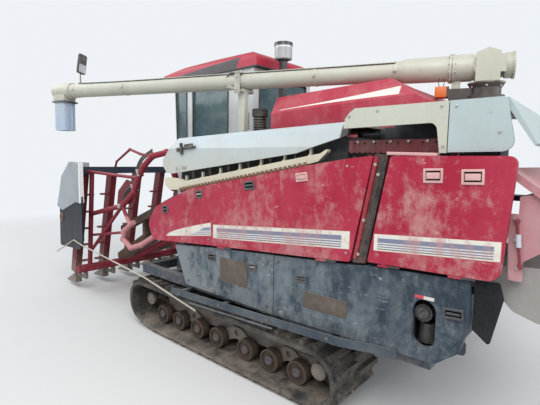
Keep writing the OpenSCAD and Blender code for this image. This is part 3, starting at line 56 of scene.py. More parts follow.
# Studio: a pale world and three large soft lamps, as bright daylight under thin cloud. The camera sees
# the world paler than the light that it gives.
scene.view_settings.view_transform = "Standard"
world = bpy.data.worlds.new("pale_room")
world.use_nodes = True
scene.world = world
links = world.node_tree.links
nodes = world.node_tree.nodes
background = nodes["Background"]
background.inputs["Color"].default_value = (0.8, 0.86, 0.93, 1.0)
background.inputs["Strength"].default_value = 0.58
shown = nodes.new("ShaderNodeBackground")
shown.inputs["Color"].default_value = (0.86, 0.89, 0.92, 1.0)
shown.inputs["Strength"].default_value = 1.0
rays = nodes.new("ShaderNodeLightPath")
either = nodes.new("ShaderNodeMath")
either.operation = "MAXIMUM"
choose = nodes.new("ShaderNodeMixShader")
links.new(rays.outputs["Is Camera Ray"], either.inputs[0])
links.new(rays.outputs["Is Transmission Ray"], either.inputs[1])
links.new(either.outputs[0], choose.inputs[0])
links.new(background.outputs[0], choose.inputs[1])
links.new(shown.outputs[0], choose.inputs[2])
links.new(choose.outputs[0], nodes["World Output"].inputs["Surface"])
for name, place, size, power, tint in [
    ("sky_lamp", (-3.5, 5.0, 7.0), 6.0, 560.0, (1.0, 0.985, 0.96)),
    ("fill_lamp", (-7.0, -2.0, 4.0), 5.0, 210.0, (0.93, 0.96, 1.0)),
    ("front_lamp", (6.0, 3.0, 5.0), 5.0, 240.0, (0.96, 0.98, 1.0)),
]:
    lamp_data = bpy.data.lights.new(name, "AREA")
    lamp_data.size = size
    lamp_data.energy = power
    lamp_data.color = tint
    lamp = bpy.data.objects.new(name, lamp_data)
    lamp.location = place
    aim = Vector((0.0, 0.0, 1.0)) - Vector(place)
    lamp.rotation_euler = aim.to_track_quat("-Z", "Y").to_euler()
    scene.collection.objects.link(lamp)


# Running gear: two tracks. Beam, legs and axles are dusty blue-grey steel under dried mud, and the
# rollers, sprocket and idler are rusty castings, each closed by a pressed hub cap with four bolts.
class Wire:
    """A shader value that can stand in sums."""

    def __init__(self, coat, socket):
        self.coat = coat
        self.socket = socket

    def math(self, operation, *values):
        return self.coat.add("ShaderNodeMath", {"operation": operation}, values)

    def __add__(self, other):
        return self.math("ADD", self, other)

    def __radd__(self, other):
        return self.math("ADD", other, self)

    def __sub__(self, other):
        return self.math("SUBTRACT", self, other)

    def __rsub__(self, other):
        return self.math("SUBTRACT", other, self)

    def __mul__(self, other):
        return self.math("MULTIPLY", self, other)

    def __rmul__(self, other):
        return self.math("MULTIPLY", other, self)

    def __truediv__(self, other):
        return self.math("DIVIDE", self, other)

    def over(self, low, high):
        """0 below low, 1 above high and a straight rise between them."""
        return self.coat.add("ShaderNodeMapRange", {"clamp": True},
                             {"Value": self, "From Min": low, "From Max": high})

    def between(self, low, high, edge=0.0015):
        """1 from low to high and 0 outside, with an edge as narrow as a masked line of paint."""
        return self.over(low - edge, low + edge) * (1.0 - self.over(high - edge, high + edge))


class Coat:
    """A material under way: adds nodes and joins them to the main shader."""

    def __init__(self, name, **settings):
        self.material = bpy.data.materials.new(name)
        self.material.use_nodes = True
        self.tree = self.material.node_tree
        self.shader = self.tree.nodes["Principled BSDF"]
        self.feed(**settings)

    def add(self, kind, settings, values, output=0):
        node = self.tree.nodes.new(kind)
        for key, value in settings.items():
            setattr(node, key, value)
        for key, value in values.items() if isinstance(values, dict) else enumerate(values):
            self.put(node.inputs[key], value)
        return Wire(self, node.outputs[output])

    def put(self, socket, value):
        if isinstance(value, Wire):
            self.tree.links.new(value.socket, socket)
        else:
            socket.default_value = value

    def place(self):
        return self.add("ShaderNodeTexCoord", {}, {}, "Object")

    def axis(self, name, vector=None):
        """One part of a vector, or of the place on the machine."""
        return self.add("ShaderNodeSeparateXYZ", {}, [vector or self.place()], name)

    def noise(self, scale, detail=4.0, rough=0.6, stretch=None):
        vector = self.place()
        if stretch:
            vector = self.add("ShaderNodeMapping", {}, {"Vector": vector, "Scale": stretch})
        return self.add("ShaderNodeTexNoise", {},
                        {"Vector": vector, "Scale": scale, "Detail": detail, "Roughness": rough})

    def mix(self, share, first, second):
        node = self.tree.nodes.new("ShaderNodeMix")
        node.data_type = "RGBA"
        for key, value in ((0, share), (6, first), (7, second)):
            self.put(node.inputs[key], (*value, 1.0) if isinstance(value, tuple) else value)
        return Wire(self, node.outputs[2])

    def feed(self, **inputs):
        for key, value in inputs.items():
            self.put(self.shader.inputs[key.replace("_", " ")], value)
        return self.material

    def bump(self, height, distance=0.002, strength=0.5):
        return self.add("ShaderNodeBump", {}, {"Height": height, "Distance": distance, "Strength": strength})


DUST = (0.4, 0.35, 0.28)


def paint(name, colour, faded, dust=0.35, chips=0.25, chip_colour=(0.62, 0.6, 0.56), mud_top=0.0, gloss=0.38,
          marks=None, scrub=0.0, dust_colour=DUST):
    """Sprayed paint that has stood outside: faded patches, dust on what faces up, scratches, mud below
    mud_top and dull undersides. Marks paints trim on it: a function of the coat and the shade so far.
    Scrub is how far dried mud that was rubbed about dulls it in blotches."""
    coat = Coat(name, Roughness=gloss)
    height = coat.axis("Z")
    facing = coat.axis("Z", coat.add("ShaderNodeNewGeometry", {}, {}, "Normal"))
    cloud = coat.noise(2.1, 5.0, 0.62)
    fine = coat.noise(26.0, 6.0, 0.7)
    streak = coat.noise(9.0, 5.0, 0.7, stretch=(1.0, 1.0, 0.16))
    scuff = coat.noise(38.0, 3.0, 0.8, stretch=(0.18, 0.18, 1.0))
    fade = (cloud * 0.65 + streak * 0.35).over(0.42, 0.66)
    shade = coat.mix(fade, colour, faded)
    if marks:
        shade = marks(coat, shade)
    lying = facing.over(0.25, 0.95) * 0.55 + (cloud * 0.5 + fine * 0.5).over(0.46, 0.68) * 0.45
    dusty = lying * dust
    shade = coat.mix(dusty, shade, dust_colour)
    if scrub > 0.0:
        blotch = coat.noise(3.4, 10.0, 0.8, stretch=(1.0, 1.0, 0.85))
        drops = coat.noise(19.0, 7.0, 0.78, stretch=(1.0, 1.0, 0.45))
        rubbed = (blotch * 0.66 + streak * 0.08 + drops * 0.26).over(0.485, 0.57) * (0.4 + drops) * scrub
        shade = coat.mix(rubbed, shade, dust_colour)
    worn = (scuff * 0.6 + fine * 0.4).over(0.615, 0.66) * chips
    shade = coat.mix(worn, shade, chip_colour)
    if mud_top > 0.0:
        mud = (mud_top - height + (fine - 0.5) * 0.55).over(-0.1, 0.26)
        shade = coat.mix(mud * 0.8, shade, (0.29, 0.24, 0.19))
    beneath = (0.0 - facing).over(0.3, 0.8)
    return coat.feed(Base_Color=shade, Roughness=fade * 0.16 + dusty * 0.35 + beneath * 0.6 + gloss,
                     Normal=coat.bump(fine, 0.0012, 0.35))


def bare(name, colour, rust, metallic=0.6, rough=0.5):
    """Unpainted or worn steel with rust in patches."""
    coat = Coat(name, Metallic=metallic, Roughness=rough)
    cloud = coat.noise(8.0, 6.0, 0.7)
    fine = coat.noise(70.0, 5.0, 0.7)
    spots = (cloud * 0.55 + fine * 0.45).over(0.44, 0.6) * rust
    shade = coat.mix(spots, colour, (0.24, 0.13, 0.075))
    return coat.feed(Base_Color=shade, Metallic=metallic * (1.0 - spots), Roughness=spots * 0.35 + rough,
                     Normal=coat.bump(fine, 0.0015, 0.5))


def dress(coat, *names):
    """Gives the frame's own pieces their finish."""
    for name in names:
        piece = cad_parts[name]
        if not piece.material_slots:
            piece.data.materials.append(coat)
        for place in piece.material_slots:
            place.material = coat


def deselect():
    for thing in bpy.context.selected_objects:
        thing.select_set(False)


def pick(thing):
    deselect()
    thing.select_set(True)
    bpy.context.view_layer.objects.active = thing


def edit(operation, **values):
    """One step on the whole mesh of the active piece."""
    bpy.ops.object.mode_set(mode="EDIT")
    bpy.ops.mesh.select_all(action="SELECT")
    operation(**values)
    bpy.ops.object.mode_set(mode="OBJECT")


OUT = (0.0, 1.0, 0.0)
UP = (0.0, 0.0, 1.0)


def press(thing, towards, steps):
    """Insets the face that looks towards a direction, step by step: each is a margin and a rise."""
    pick(thing)
    bpy.ops.object.mode_set(mode="EDIT")
    bpy.ops.mesh.select_all(action="DESELECT")
    shape = bmesh.from_edit_mesh(thing.data)
    for face in shape.faces:
        face.select_set(face.normal.dot(Vector(towards)) > 0.95)
    bmesh.update_edit_mesh(thing.data)
    for margin, rise in steps:
        bpy.ops.mesh.inset(thickness=margin, depth=rise)
    bpy.ops.object.mode_set(mode="OBJECT")
    return thing


def turned(middle, d, depth, coat, towards="Y", soft=0.003, sides=24, steps=()):
    """A turned or pressed round piece with softened rims; steps shape its outer end."""
    turns = {"X": (0.0, math.pi / 2, 0.0), "Y": (-math.pi / 2, 0.0, 0.0), "Z": (0.0, 0.0, 0.0)}
    deselect()
    bpy.ops.mesh.primitive_cylinder_add(vertices=sides, radius=d / 2, depth=depth, location=middle,
                                        rotation=turns[towards])
    thing = bpy.context.active_object
    thing.data.materials.append(coat)
    if steps:
        press(thing, UP, steps)
    bpy.ops.object.mode_set(mode="EDIT")
    bpy.ops.mesh.select_all(action="DESELECT")
    bpy.ops.mesh.edges_select_sharp(sharpness=math.radians(50.0))
    bpy.ops.mesh.bevel(offset=soft, segments=2)
    bpy.ops.object.mode_set(mode="OBJECT")
    return thing


def copies(thing, places):
    """The same piece again at more places, each with its own mesh."""
    made = [thing]
    for place in places:
        twin = thing.copy()
        twin.data = thing.data.copy()
        twin.location = place
        scene.collection.objects.link(twin)
        made.append(twin)
    return made


def bolts(places, d, depth, coat, sides=6, soft=0.001):
    """Like bolt heads, pins or studs, one at each place."""
    return copies(turned(places[0], d, depth, coat, sides=sides, soft=soft), places[1:])


def finish(things, name, body, smooth=32.0, carried=None):
    """Joins what makes up one piece, sets its place in its mesh and lets it ride on its body."""
    deselect()
    for thing in things:
        thing.select_set(True)
    piece = things[0]
    bpy.context.view_layer.objects.active = piece
    bpy.ops.object.transform_apply(location=True, rotation=True, scale=True)
    if len(things) > 1:
        bpy.ops.object.join()
    if carried:
        piece.data.transform(carried)
    bpy.ops.object.shade_smooth_by_angle(angle=math.radians(smooth))
    piece.name = name
    piece.data.name = name
    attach(piece, body)
    return piece


# Where the header lifts about; places along the machine are measured from there, forwards.
lift_x = 0.1558


def at(x, y, z):
    """A place on the machine, x measured from the header's pivot."""
    return lift_x + x, y, z


def studs(y, places, d, depth, coat):
    """Bolts in a plane of the left side, given as x and z."""
    return bolts([at(x, y, z) for x, z in places], d, depth, coat)


frame_paint = paint("dusty_blue_frame", (0.035, 0.05, 0.075), (0.09, 0.1, 0.12), 0.45, 0.5,
                    (0.2, 0.17, 0.14), 0.42, 0.55)
dress(frame_paint, "chassis_frame", "track_frame_left", "track_frame_right", "tie_down_eyes", "engine_block")
rusty = bare("rusty_roller_castings", (0.075, 0.058, 0.048), 0.32, 0.2, 0.75)
dress(rusty, "track_wheels_left", "track_wheels_right")
cap_steel = bare("dusty_hub_caps", (0.1, 0.11, 0.13), 0.5, 0.4, 0.6)
# The rollers' hub caps are dished, the sprocket's and the idler's are raised.
dished = [(0.008, 0.004), (0.01, -0.005)]
SIDES = ((1.0, "left"), (-1.0, "right"))
sprocket_x, idler_x = 0.35, -1.48
for side, name in SIDES:
    caps = []
    for share in (0.102, 0.226, 0.359, 0.485, 0.652, 0.778, 0.908):
        place = at(sprocket_x + (idler_x - sprocket_x) * share, side * 1.008, 0.142)
        caps.append(turned(place, 0.062, 0.026, cap_steel, steps=dished if side > 0 else []))
    for x, z in ((lift_x + sprocket_x, 0.24), (lift_x + idler_x, 0.21)):
        caps.append(turned((x, side * 1.004, z), 0.11, 0.026, frame_paint,
                           steps=[(0.014, 0.006)] if side > 0 else []))
        caps += bolts([(x + 0.038 * math.cos(a), side * 1.016, z + 0.038 * math.sin(a))
                       for a in (0.0, math.pi / 2, math.pi, -math.pi / 2)], 0.016, 0.012, cap_steel)
    finish(caps, "hub_caps_" + name, "machine")


# Rubber tracks: black moulded rubber with grey bloom, dust between the lugs and dried mud on the
# lowest run.
def rubber(name, colour, dust=0.5, mud_top=0.0, rough=0.75):
    """Black rubber or plastic with grey bloom, dust in the open and dried mud."""
    coat = Coat(name, Roughness=rough)
    height = coat.axis("Z")
    cloud = coat.noise(5.0, 6.0, 0.68)
    fine = coat.noise(60.0, 5.0, 0.7)
    bloom = (cloud * 0.6 + fine * 0.4).over(0.42, 0.62) * dust
    shade = coat.mix(bloom, colour, DUST)
    if mud_top > 0.0:
        mud = (mud_top - height + (cloud - 0.5) * 0.5).over(-0.08, 0.1)
        shade = coat.mix(mud * 0.75, shade, (0.3, 0.25, 0.2))
    return coat.feed(Base_Color=shade, Normal=coat.bump(fine, 0.002, 0.6))


dress(rubber("muddy_track_rubber", (0.026, 0.025, 0.025), 0.32, 0.06), "rubber_track_left", "rubber_track_right")


# Rails beside the tracks: flat bars in thin dark blue paint, worn bright where crops rub along them,
# with the bolts that hold them.
dress(paint("worn_rail_paint", (0.03, 0.046, 0.066), (0.085, 0.105, 0.125), 0.3, 0.9,
            (0.34, 0.34, 0.33), 0.36, 0.5), "side_rails")
rail_steel = bare("rail_bolts", (0.2, 0.19, 0.18), 0.6, 0.7, 0.5)
bolt_gap = 0.45
rail_bolts = bolts([at(-0.27 - k * bolt_gap, 1.152, 0.463 + k * bolt_gap * 0.036) for k in range(4)],
                   0.022, 0.01, rail_steel)
finish(rail_bolts, "rail_bolts", "machine")


# Threshing body: a closed housing of dark sheet steel with the belts and pulleys of its side drive,
# and the feed chain that carries the stalks along it, oily and brown with dust.
dress(paint("dark_body_sheet", (0.022, 0.028, 0.038), (0.05, 0.055, 0.062), 0.4, 0.4, (0.3, 0.26, 0.22), 0.5, 0.6),
      "thresher_body")
oily = bare("oily_chain_steel", (0.05, 0.042, 0.036), 0.8, 0.35, 0.6)
dress(oily, "feed_chain", "side_drive")
chain_line = [(0.17, 1.05), (-0.19, 1.1853), (-0.9, 1.3353), (-1.38, 1.4253), (-1.7, 1.4853)]


def on_chain(share):
    """A place on the chain's line, share 0 at its nose and 1 at its back end."""
    left = share * (len(chain_line) - 1)
    k = min(int(left), len(chain_line) - 2)
    a, b = chain_line[k], chain_line[k + 1]
    return lift_x + a[0] + (b[0] - a[0]) * (left - k), a[1] + (b[1] - a[1]) * (left - k)


# Feed chain's pins: riveted round heads in one row along the chain's outer side, oily like the
# chain itself.
pins = 70
pin_row = [(x, 1.021, z - 0.004) for x, z in (on_chain(k / (pins - 1)) for k in range(pins))]
finish(bolts(pin_row, 0.013, 0.008, oily, 12, 0.0015), "chain_pins", "machine")


# Clamp rail: cream sheet folded to a nose, with a row of brown fingers that press the stalks down on
# the chain, and the coil springs that hold it, each on its own pin.
dress(paint("cream_clamp_rail", (0.66, 0.63, 0.49), (0.6, 0.56, 0.44), 0.45, 0.7, (0.3, 0.2, 0.13)), "clamp_rail")


def block(low, high, coat, soft=0.003, tilt=0.0):
    """A plate or box from corner to corner with softened edges; tilt leans it up towards the back."""
    deselect()
    middle = [(a + b) / 2 for a, b in zip(low, high)]
    bpy.ops.mesh.primitive_cube_add(size=1.0, location=middle, scale=[b - a for a, b in zip(low, high)])
    thing = bpy.context.active_object
    bpy.ops.object.transform_apply(location=False, rotation=False, scale=True)
    edit(bpy.ops.mesh.bevel, offset=soft, segments=2)
    thing.rotation_euler = (0.0, math.radians(tilt), 0.0)
    thing.data.materials.append(coat)
    return thing


def pipe(points, d, coat, handles="AUTO", closed=False):
    """A bent rod, pipe or hose along its points, closed at its ends."""
    path = bpy.data.curves.new("bent_rod", "CURVE")
    path.dimensions = "3D"
    path.resolution_u = 8
    path.bevel_depth = d / 2
    path.bevel_resolution = 3
    path.use_fill_caps = True
    line = path.splines.new("BEZIER")
    line.bezier_points.add(len(points) - 1)
    line.use_cyclic_u = closed
    for knot, place in zip(line.bezier_points, points):
        knot.co = place
        knot.handle_left_type = handles
        knot.handle_right_type = handles
    thing = bpy.data.objects.new("bent_rod", path)
    scene.collection.objects.link(thing)
    path.materials.append(coat)
    pick(thing)
    bpy.ops.object.convert(target="MESH")
    return bpy.context.active_object


finger_brown = bare("brown_fingers", (0.2, 0.12, 0.075), 0.7, 0.3, 0.65)
first = block(at(-0.128, 1.019, 1.243), at(-0.104, 1.027, 1.278), finger_brown, 0.002, 9.8)
finger_gap = 0.0385
fingers = [at(-0.116 - k * finger_gap, 1.023, 1.2605 + k * finger_gap * 0.1767) for k in range(1, 33)]
finish(copies(first, fingers), "clamp_fingers", "machine")
spring_steel = bare("dull_spring_steel", (0.26, 0.24, 0.21), 0.5, 0.7, 0.5)
springs = []
for i in range(6):
    x = lift_x - 0.19 - i * 0.205
    z = 1.34 - (x - lift_x + 0.056) * 0.172
    coil = [(x + 0.013 * math.cos(a * math.pi / 2), 0.95 + 0.013 * math.sin(a * math.pi / 2), z + a * 0.0026)
            for a in range(30)]
    springs.append(pipe(coil, 0.0045, spring_steel))
    springs.append(pipe([(x, 0.95, z - 0.03), (x, 0.95, z + 0.105)], 0.009, spring_steel, "VECTOR"))
finish(springs, "clamp_springs", "machine")


# Threshing drum cover: white enamel on pressed sheet, hinged along its inboard edge. It is painted cream
# below its fold, partly dust and partly painted light for the change of light across the fold, and painted
# shade turns faces that look down and its inboard rear end nearly black. A black lever with a cross handle
# and a ring bolt hold its front.
def fold_tone_and_shade(coat, shade):
    # Cream below the fold: partly dust, partly painted light for the change of light across the fold.
    low = (1.6 - coat.axis("Z") + (coat.noise(3.0) - 0.5) * 0.25).over(-0.1, 0.16)
    shade = coat.mix(low * 0.7, shade, (0.53, 0.53, 0.45))
    # Painted shade: faces that look down above the fold, and the inboard rear end, go nearly black.
    shade_below = (0.0 - coat.axis("Z", coat.add("ShaderNodeTexCoord", {}, {}, "Normal"))).over(0.4, 0.7)
    inboard = (0.985 - coat.axis("Y")).over(0.0, 0.004)
    shade_at_tail = inboard * (lift_x - 1.555 - coat.axis("X")).over(0.0, 0.01)
    return coat.mix(shade_below.math("MAXIMUM", shade_below * (1.0 - low), shade_at_tail), shade, (0.045, 0.042, 0.042))


dress(paint("white_drum_cover", (0.46, 0.54, 0.58), (0.42, 0.48, 0.5), 0.3, 0.5, (0.33, 0.27, 0.2), marks=fold_tone_and_shade,
            scrub=0.14), "drum_cover")
black = rubber("black_lever_plastic", (0.022, 0.024, 0.028), 0.3, 0.0, 0.5)
bright = bare("zinc_fittings", (0.55, 0.53, 0.5), 0.3, 0.9, 0.4)
levers = [block(at(-0.285, 1.001, 1.583), at(-0.035, 1.012, 1.603), black, 0.004, 3.5),
          press(block(at(-0.262, 1.008, 1.59), at(-0.16, 1.022, 1.626), black, 0.005, 3.5), OUT, [(0.006, -0.003)]),
          press(block(at(-0.128, 1.004, 1.54), at(-0.098, 1.02, 1.634), black, 0.005, 3.5), OUT, [(0.005, -0.003)]),
          block(at(-0.078, 1.004, 1.566), at(-0.05, 1.018, 1.59), black, 0.004, 3.5)]
levers += bolts([at(-0.113, 1.02, 1.592), at(-0.246, 1.02, 1.606), at(-0.062, 1.02, 1.58)],
                0.016, 0.012, bright, 24, 0.003)
levers.append(pipe([at(-0.045, 1.006, 1.432), at(-0.05, 1.022, 1.44), at(-0.06, 1.022, 1.432),
                    at(-0.055, 1.018, 1.42)], 0.006, bright, closed=True))
levers.append(block(at(-0.165, 1.0, 1.424), at(-0.1, 1.0025, 1.454), bright, 0.001, 3.0))
finish(levers, "drum_cover_latches", "drum_lid")


# Frame cover with its window, the white cover behind it and the straw conveyor seen through the window:
# a dark red guide with bolts over a toothed chain.
dress(paint("cream_window_cover", (0.51, 0.53, 0.45), (0.46, 0.47, 0.39), 0.4, 0.6, (0.33, 0.22, 0.14), scrub=0.2),
      "window_cover")
dress(paint("pale_rear_cover", (0.42, 0.51, 0.52), (0.38, 0.45, 0.45), 0.3, 0.5, (0.34, 0.28, 0.22), scrub=0.12),
      "rear_cover")
dress(paint("dark_red_guide", (0.2, 0.03, 0.035), (0.13, 0.045, 0.04), 0.5, 0.6, (0.1, 0.07, 0.05)),
      "straw_conveyor")
guide_bolts = bolts([at(-1.675 - k * 0.096, 0.975, 1.612) for k in range(6)], 0.016, 0.01, bright)
finish(guide_bolts, "conveyor_bolts", "machine")
cover_bolts = studs(1.071, ((-1.668, 1.745), (-1.83, 1.765), (-2.15, 1.765), (-2.165, 1.58),
                            (-2.215, 1.76), (-2.395, 1.64)), 0.015, 0.008, bright)
finish(cover_bolts, "cover_bolts", "machine")


# Red side panels: moulded red sheet in two pieces, hinged below. A pale band with grey-blue stripes
# crosses both, and a pale wedge rises from the front corner. Framed latches stand along the top edge,
# and a pink ledge strip lies over the rear panel.
PALE = (0.7, 0.68, 0.6)


def band_marks(coat, shade, start, length, low, slope, height):
    """The pale band: stripes lie one over another inside it, and its ends are plain."""
    x = coat.axis("X")
    run = (start + lift_x) - x
    level = (coat.axis("Z") - low - run * slope) / height
    inside = level.between(0.0, 1.0, 0.012) * run.between(0.0, length, 0.002)
    middle = run.between(length * 0.035, length * 0.955, 0.003)
    shade = coat.mix(inside, shade, PALE)
    for low_edge, high_edge, ink in ((0.49, 0.76, (0.17, 0.2, 0.29)), (0.35, 0.43, (0.14, 0.18, 0.29)),
                                     (0.21, 0.28, (0.15, 0.19, 0.31)), (0.08, 0.14, (0.07, 0.08, 0.13))):
        shade = coat.mix(inside * middle * level.between(low_edge, high_edge, 0.015), shade, ink)
    return shade


def front_marks(coat, shade):
    shade = band_marks(coat, shade, -0.61, 1.108, 0.942, 0.0812, 0.098)
    run = (lift_x - 0.04) - coat.axis("X")
    rise = coat.axis("Z") - 0.883 - run * 0.1326
    top = run.math("SQRT", run.math("MAXIMUM", run, 0.0)) * 0.13
    wedge = (top - rise).over(-0.002, 0.002) * rise.over(-0.002, 0.002) * run.between(0.0, 0.545, 0.002)
    shade = coat.mix(wedge, shade, PALE)
    reach = (run - 0.29) * 0.34
    for low, high in ((0.008, 0.016), (0.023, 0.031), (0.038, 0.062)):
        stripe = rise.between(low, high, 0.001) * (reach - rise).over(0.0, 0.002)
        stripe = stripe * run.between(0.3, 0.54, 0.002)
        shade = coat.mix(stripe, shade, (0.21, 0.24, 0.37))
    seam = run.between(0.5575, 0.5605, 0.0006)
    return coat.mix(seam, shade, (0.1, 0.01, 0.015))


def rear_marks(coat, shade):
    return band_marks(coat, shade, -1.86, 0.58, 1.049, 0.0672, 0.086)


PINK_DUST = (0.47, 0.24, 0.23)
PANEL_RED = (0.34, 0.006, 0.034)
PANEL_FADED = (0.42, 0.02, 0.058)
PANEL_CHIPS = (0.62, 0.45, 0.42)
dress(paint("red_front_panel", PANEL_RED, PANEL_FADED, 0.14, 0.5, PANEL_CHIPS, marks=front_marks,
            scrub=0.62, dust_colour=PINK_DUST), "front_side_panel")
dress(paint("red_rear_panel", PANEL_RED, PANEL_FADED, 0.14, 0.5, PANEL_CHIPS, marks=rear_marks,
            scrub=0.8, dust_colour=PINK_DUST), "rear_side_panel")
pinkish = paint("pink_latch_frames", (0.6, 0.34, 0.34), (0.66, 0.42, 0.4), 0.3, 0.5, (0.3, 0.2, 0.18))
dark_frame = paint("dark_latch_frames", (0.05, 0.055, 0.065), (0.12, 0.12, 0.125), 0.5, 0.6, (0.35, 0.33, 0.31))


def latch(y, x, z, w, h, frame_coat, bar_coat, tilt=8.0, share=0.11):
    """A framed recess with a lever bar across it; share is half the bar's part of its height."""
    x += lift_x
    shell = block((x - w / 2, y - 0.004, z - h / 2), (x + w / 2, y + 0.007, z + h / 2), frame_coat, 0.003, tilt)
    press(shell, OUT, [(0.007, 0.0), (0.002, -0.007)])
    reach = w * 0.34
    lever = block((x - reach, y - 0.002, z - h * share), (x + reach, y + 0.006, z + h * share),
                  bar_coat, 0.002, tilt)
    return [shell, lever]


def latches(y, *rows):
    """Latches in a plane of the left side, a row for each."""
    return [part for row in rows for part in latch(y, *row)]


# The outer face of the red panels.
panel_y = 1.11
front_latches = latches(panel_y, (-0.028, 1.1, 0.07, 0.062, dark_frame, dark_frame, 14.0),
                        (-0.456, 1.25, 0.072, 0.058, dark_frame, bright, 10.0),
                        (-0.966, 1.34, 0.094, 0.056, dark_frame, dark_frame),
                        (-1.39, 1.41, 0.084, 0.052, pinkish, pinkish, 8.0, 0.24))
front_latches += studs(1.111, ((-0.3, 0.955), (-0.345, 0.99), (-0.56, 0.925),
                               (-1.7, 1.01), (-1.69, 1.48)), 0.014, 0.008, bright)
finish(front_latches, "front_panel_latches", "front_panel")
rear_latches = latches(panel_y, (-2.142, 1.444, 0.09, 0.068, pinkish, pinkish, 2.0, 0.22),
                       (-2.312, 1.444, 0.094, 0.068, pinkish, pinkish, 2.0, 0.22))
finish(rear_latches, "rear_panel_latches", "rear_panel")
ledge = press(block(at(-2.15, 1.055, 1.536), at(-1.905, 1.105, 1.552), pinkish, 0.003, -1.5), UP, [(0.008, -0.003)])
ledge_hooks = copies(block(at(-2.1, 1.06, 1.528), at(-2.075, 1.1, 1.54), pinkish), [at(-1.96, 1.08, 1.532)])
finish([ledge] + ledge_hooks, "ledge_strip", "machine")


# Centre post: dark brown steel between the panels, with a red edge strip, a loom of thin wires and
# the bolts that hold it.
def red_edge(coat, shade):
    return coat.mix(coat.axis("Y").over(1.1065, 1.1075), shade, (0.3, 0.016, 0.034))


dress(paint("dark_brown_post", (0.06, 0.028, 0.026), (0.11, 0.06, 0.052), 0.35, 0.5, (0.3, 0.22, 0.19),
            marks=red_edge), "centre_post")
wires = []
for k, side in enumerate((0.02, 0.028, 0.036)):
    wires.append(pipe([at(-1.775 - side, 1.1085, 1.01), at(-1.8 - side, 1.11, 1.13 + k * 0.01),
                       at(-1.832 - side, 1.109, 1.3), at(-1.868 - side, 1.1085, 1.52)], 0.006, black))
wires += studs(1.112, ((-1.853, 1.49), (-1.87, 1.44), (-1.775, 1.015), (-1.8, 1.2)), 0.018, 0.01, bright)
finish(wires, "post_wiring", "machine")


# Lower side covers: dark blue-grey moulded sheet that lifts off, chalky with dust, with two dark brown
# blank plates, a blank label in red and white, framed latches and a dark seam where the two meet.
def chalk_marks(coat, shade):
    """Chalky dust lies thickest at the front and below the panels and thins out towards the filler."""
    ahead = (coat.axis("X") - lift_x).over(-1.9, -0.15)
    cloud = coat.noise(4.2, 8.0, 0.75, stretch=(1.0, 1.0, 0.6))
    return coat.mix((cloud + ahead * 0.14).over(0.5, 0.6) * (ahead * 0.5 + 0.2), shade, (0.27, 0.3, 0.31))


dress(paint("chalky_dark_covers", (0.014, 0.028, 0.046), (0.045, 0.068, 0.092), 0.26, 0.9,
            (0.36, 0.39, 0.4), 0.46, 0.62, chalk_marks, scrub=0.42, dust_colour=(0.22, 0.26, 0.28)),
      "lower_cover_front", "lower_cover_rear")
brown = paint("brown_blank_plate", (0.085, 0.066, 0.052), (0.11, 0.085, 0.066), 0.45, 0.4, (0.26, 0.23, 0.2))
# The outer face of the lower covers.
cover_y = 1.09
fittings = latches(cover_y, (-0.575, 0.794, 0.085, 0.052, dark_frame, dark_frame, 4.0),
                   (-0.985, 0.794, 0.07, 0.046, dark_frame, bright, 4.0),
                   (-1.39, 0.797, 0.08, 0.044, dark_frame, dark_frame, 4.0),
                   (-2.262, 0.808, 0.092, 0.052, dark_frame, dark_frame, 4.0))
fittings.append(block(at(-0.936, 1.089, 0.635), at(-0.663, 1.0925, 0.812), brown, 0.001, 1.0))
fittings.append(block(at(-1.705, 1.089, 0.63), at(-1.408, 1.0925, 0.728), brown, 0.001, 1.0))
label_white = paint("faded_blank_label", (0.62, 0.58, 0.55), (0.55, 0.5, 0.46), 0.4, 0.6)
label_red = paint("faded_red_label", (0.52, 0.06, 0.07), (0.56, 0.22, 0.2), 0.3, 0.6)
for x0, x1, coat in ((-2.172, -2.122, label_white), (-2.121, -2.079, label_red)):
    fittings.append(block(at(x0, 1.089, 0.845), at(x1, 1.0915, 0.862), coat, 0.0008))
fittings += studs(1.091, ((-0.3, 0.56), (-1.12, 0.56), (-1.21, 0.56),
                          (-1.88, 0.575), (-1.12, 0.855), (-1.21, 0.87)), 0.018, 0.01, cap_steel)
finish(fittings, "lower_cover_fittings", "machine")


# Fuel filler: black neck with a ribbed screw cap over a settling bottle, sunk in a slot of the rear
# lower cover.
dress(rubber("black_filler_plastic", (0.018, 0.018, 0.02), 0.14, 0.0, 0.45), "fuel_filler")
cap_x = lift_x - 2.12
ribs = [turned((cap_x, 1.078, 0.772), 0.06, 0.012, black, steps=[(0.01, 0.003), (0.006, -0.004)])]
first = block((cap_x - 0.004, 1.03, 0.8135), (cap_x + 0.004, 1.074, 0.8185), black, 0.001)
ribs += copies(first, [(cap_x + 0.003, 1.052, 0.7275), (cap_x - 0.003, 1.052, 0.816)])
finish(ribs, "filler_cap_ribs", "machine")


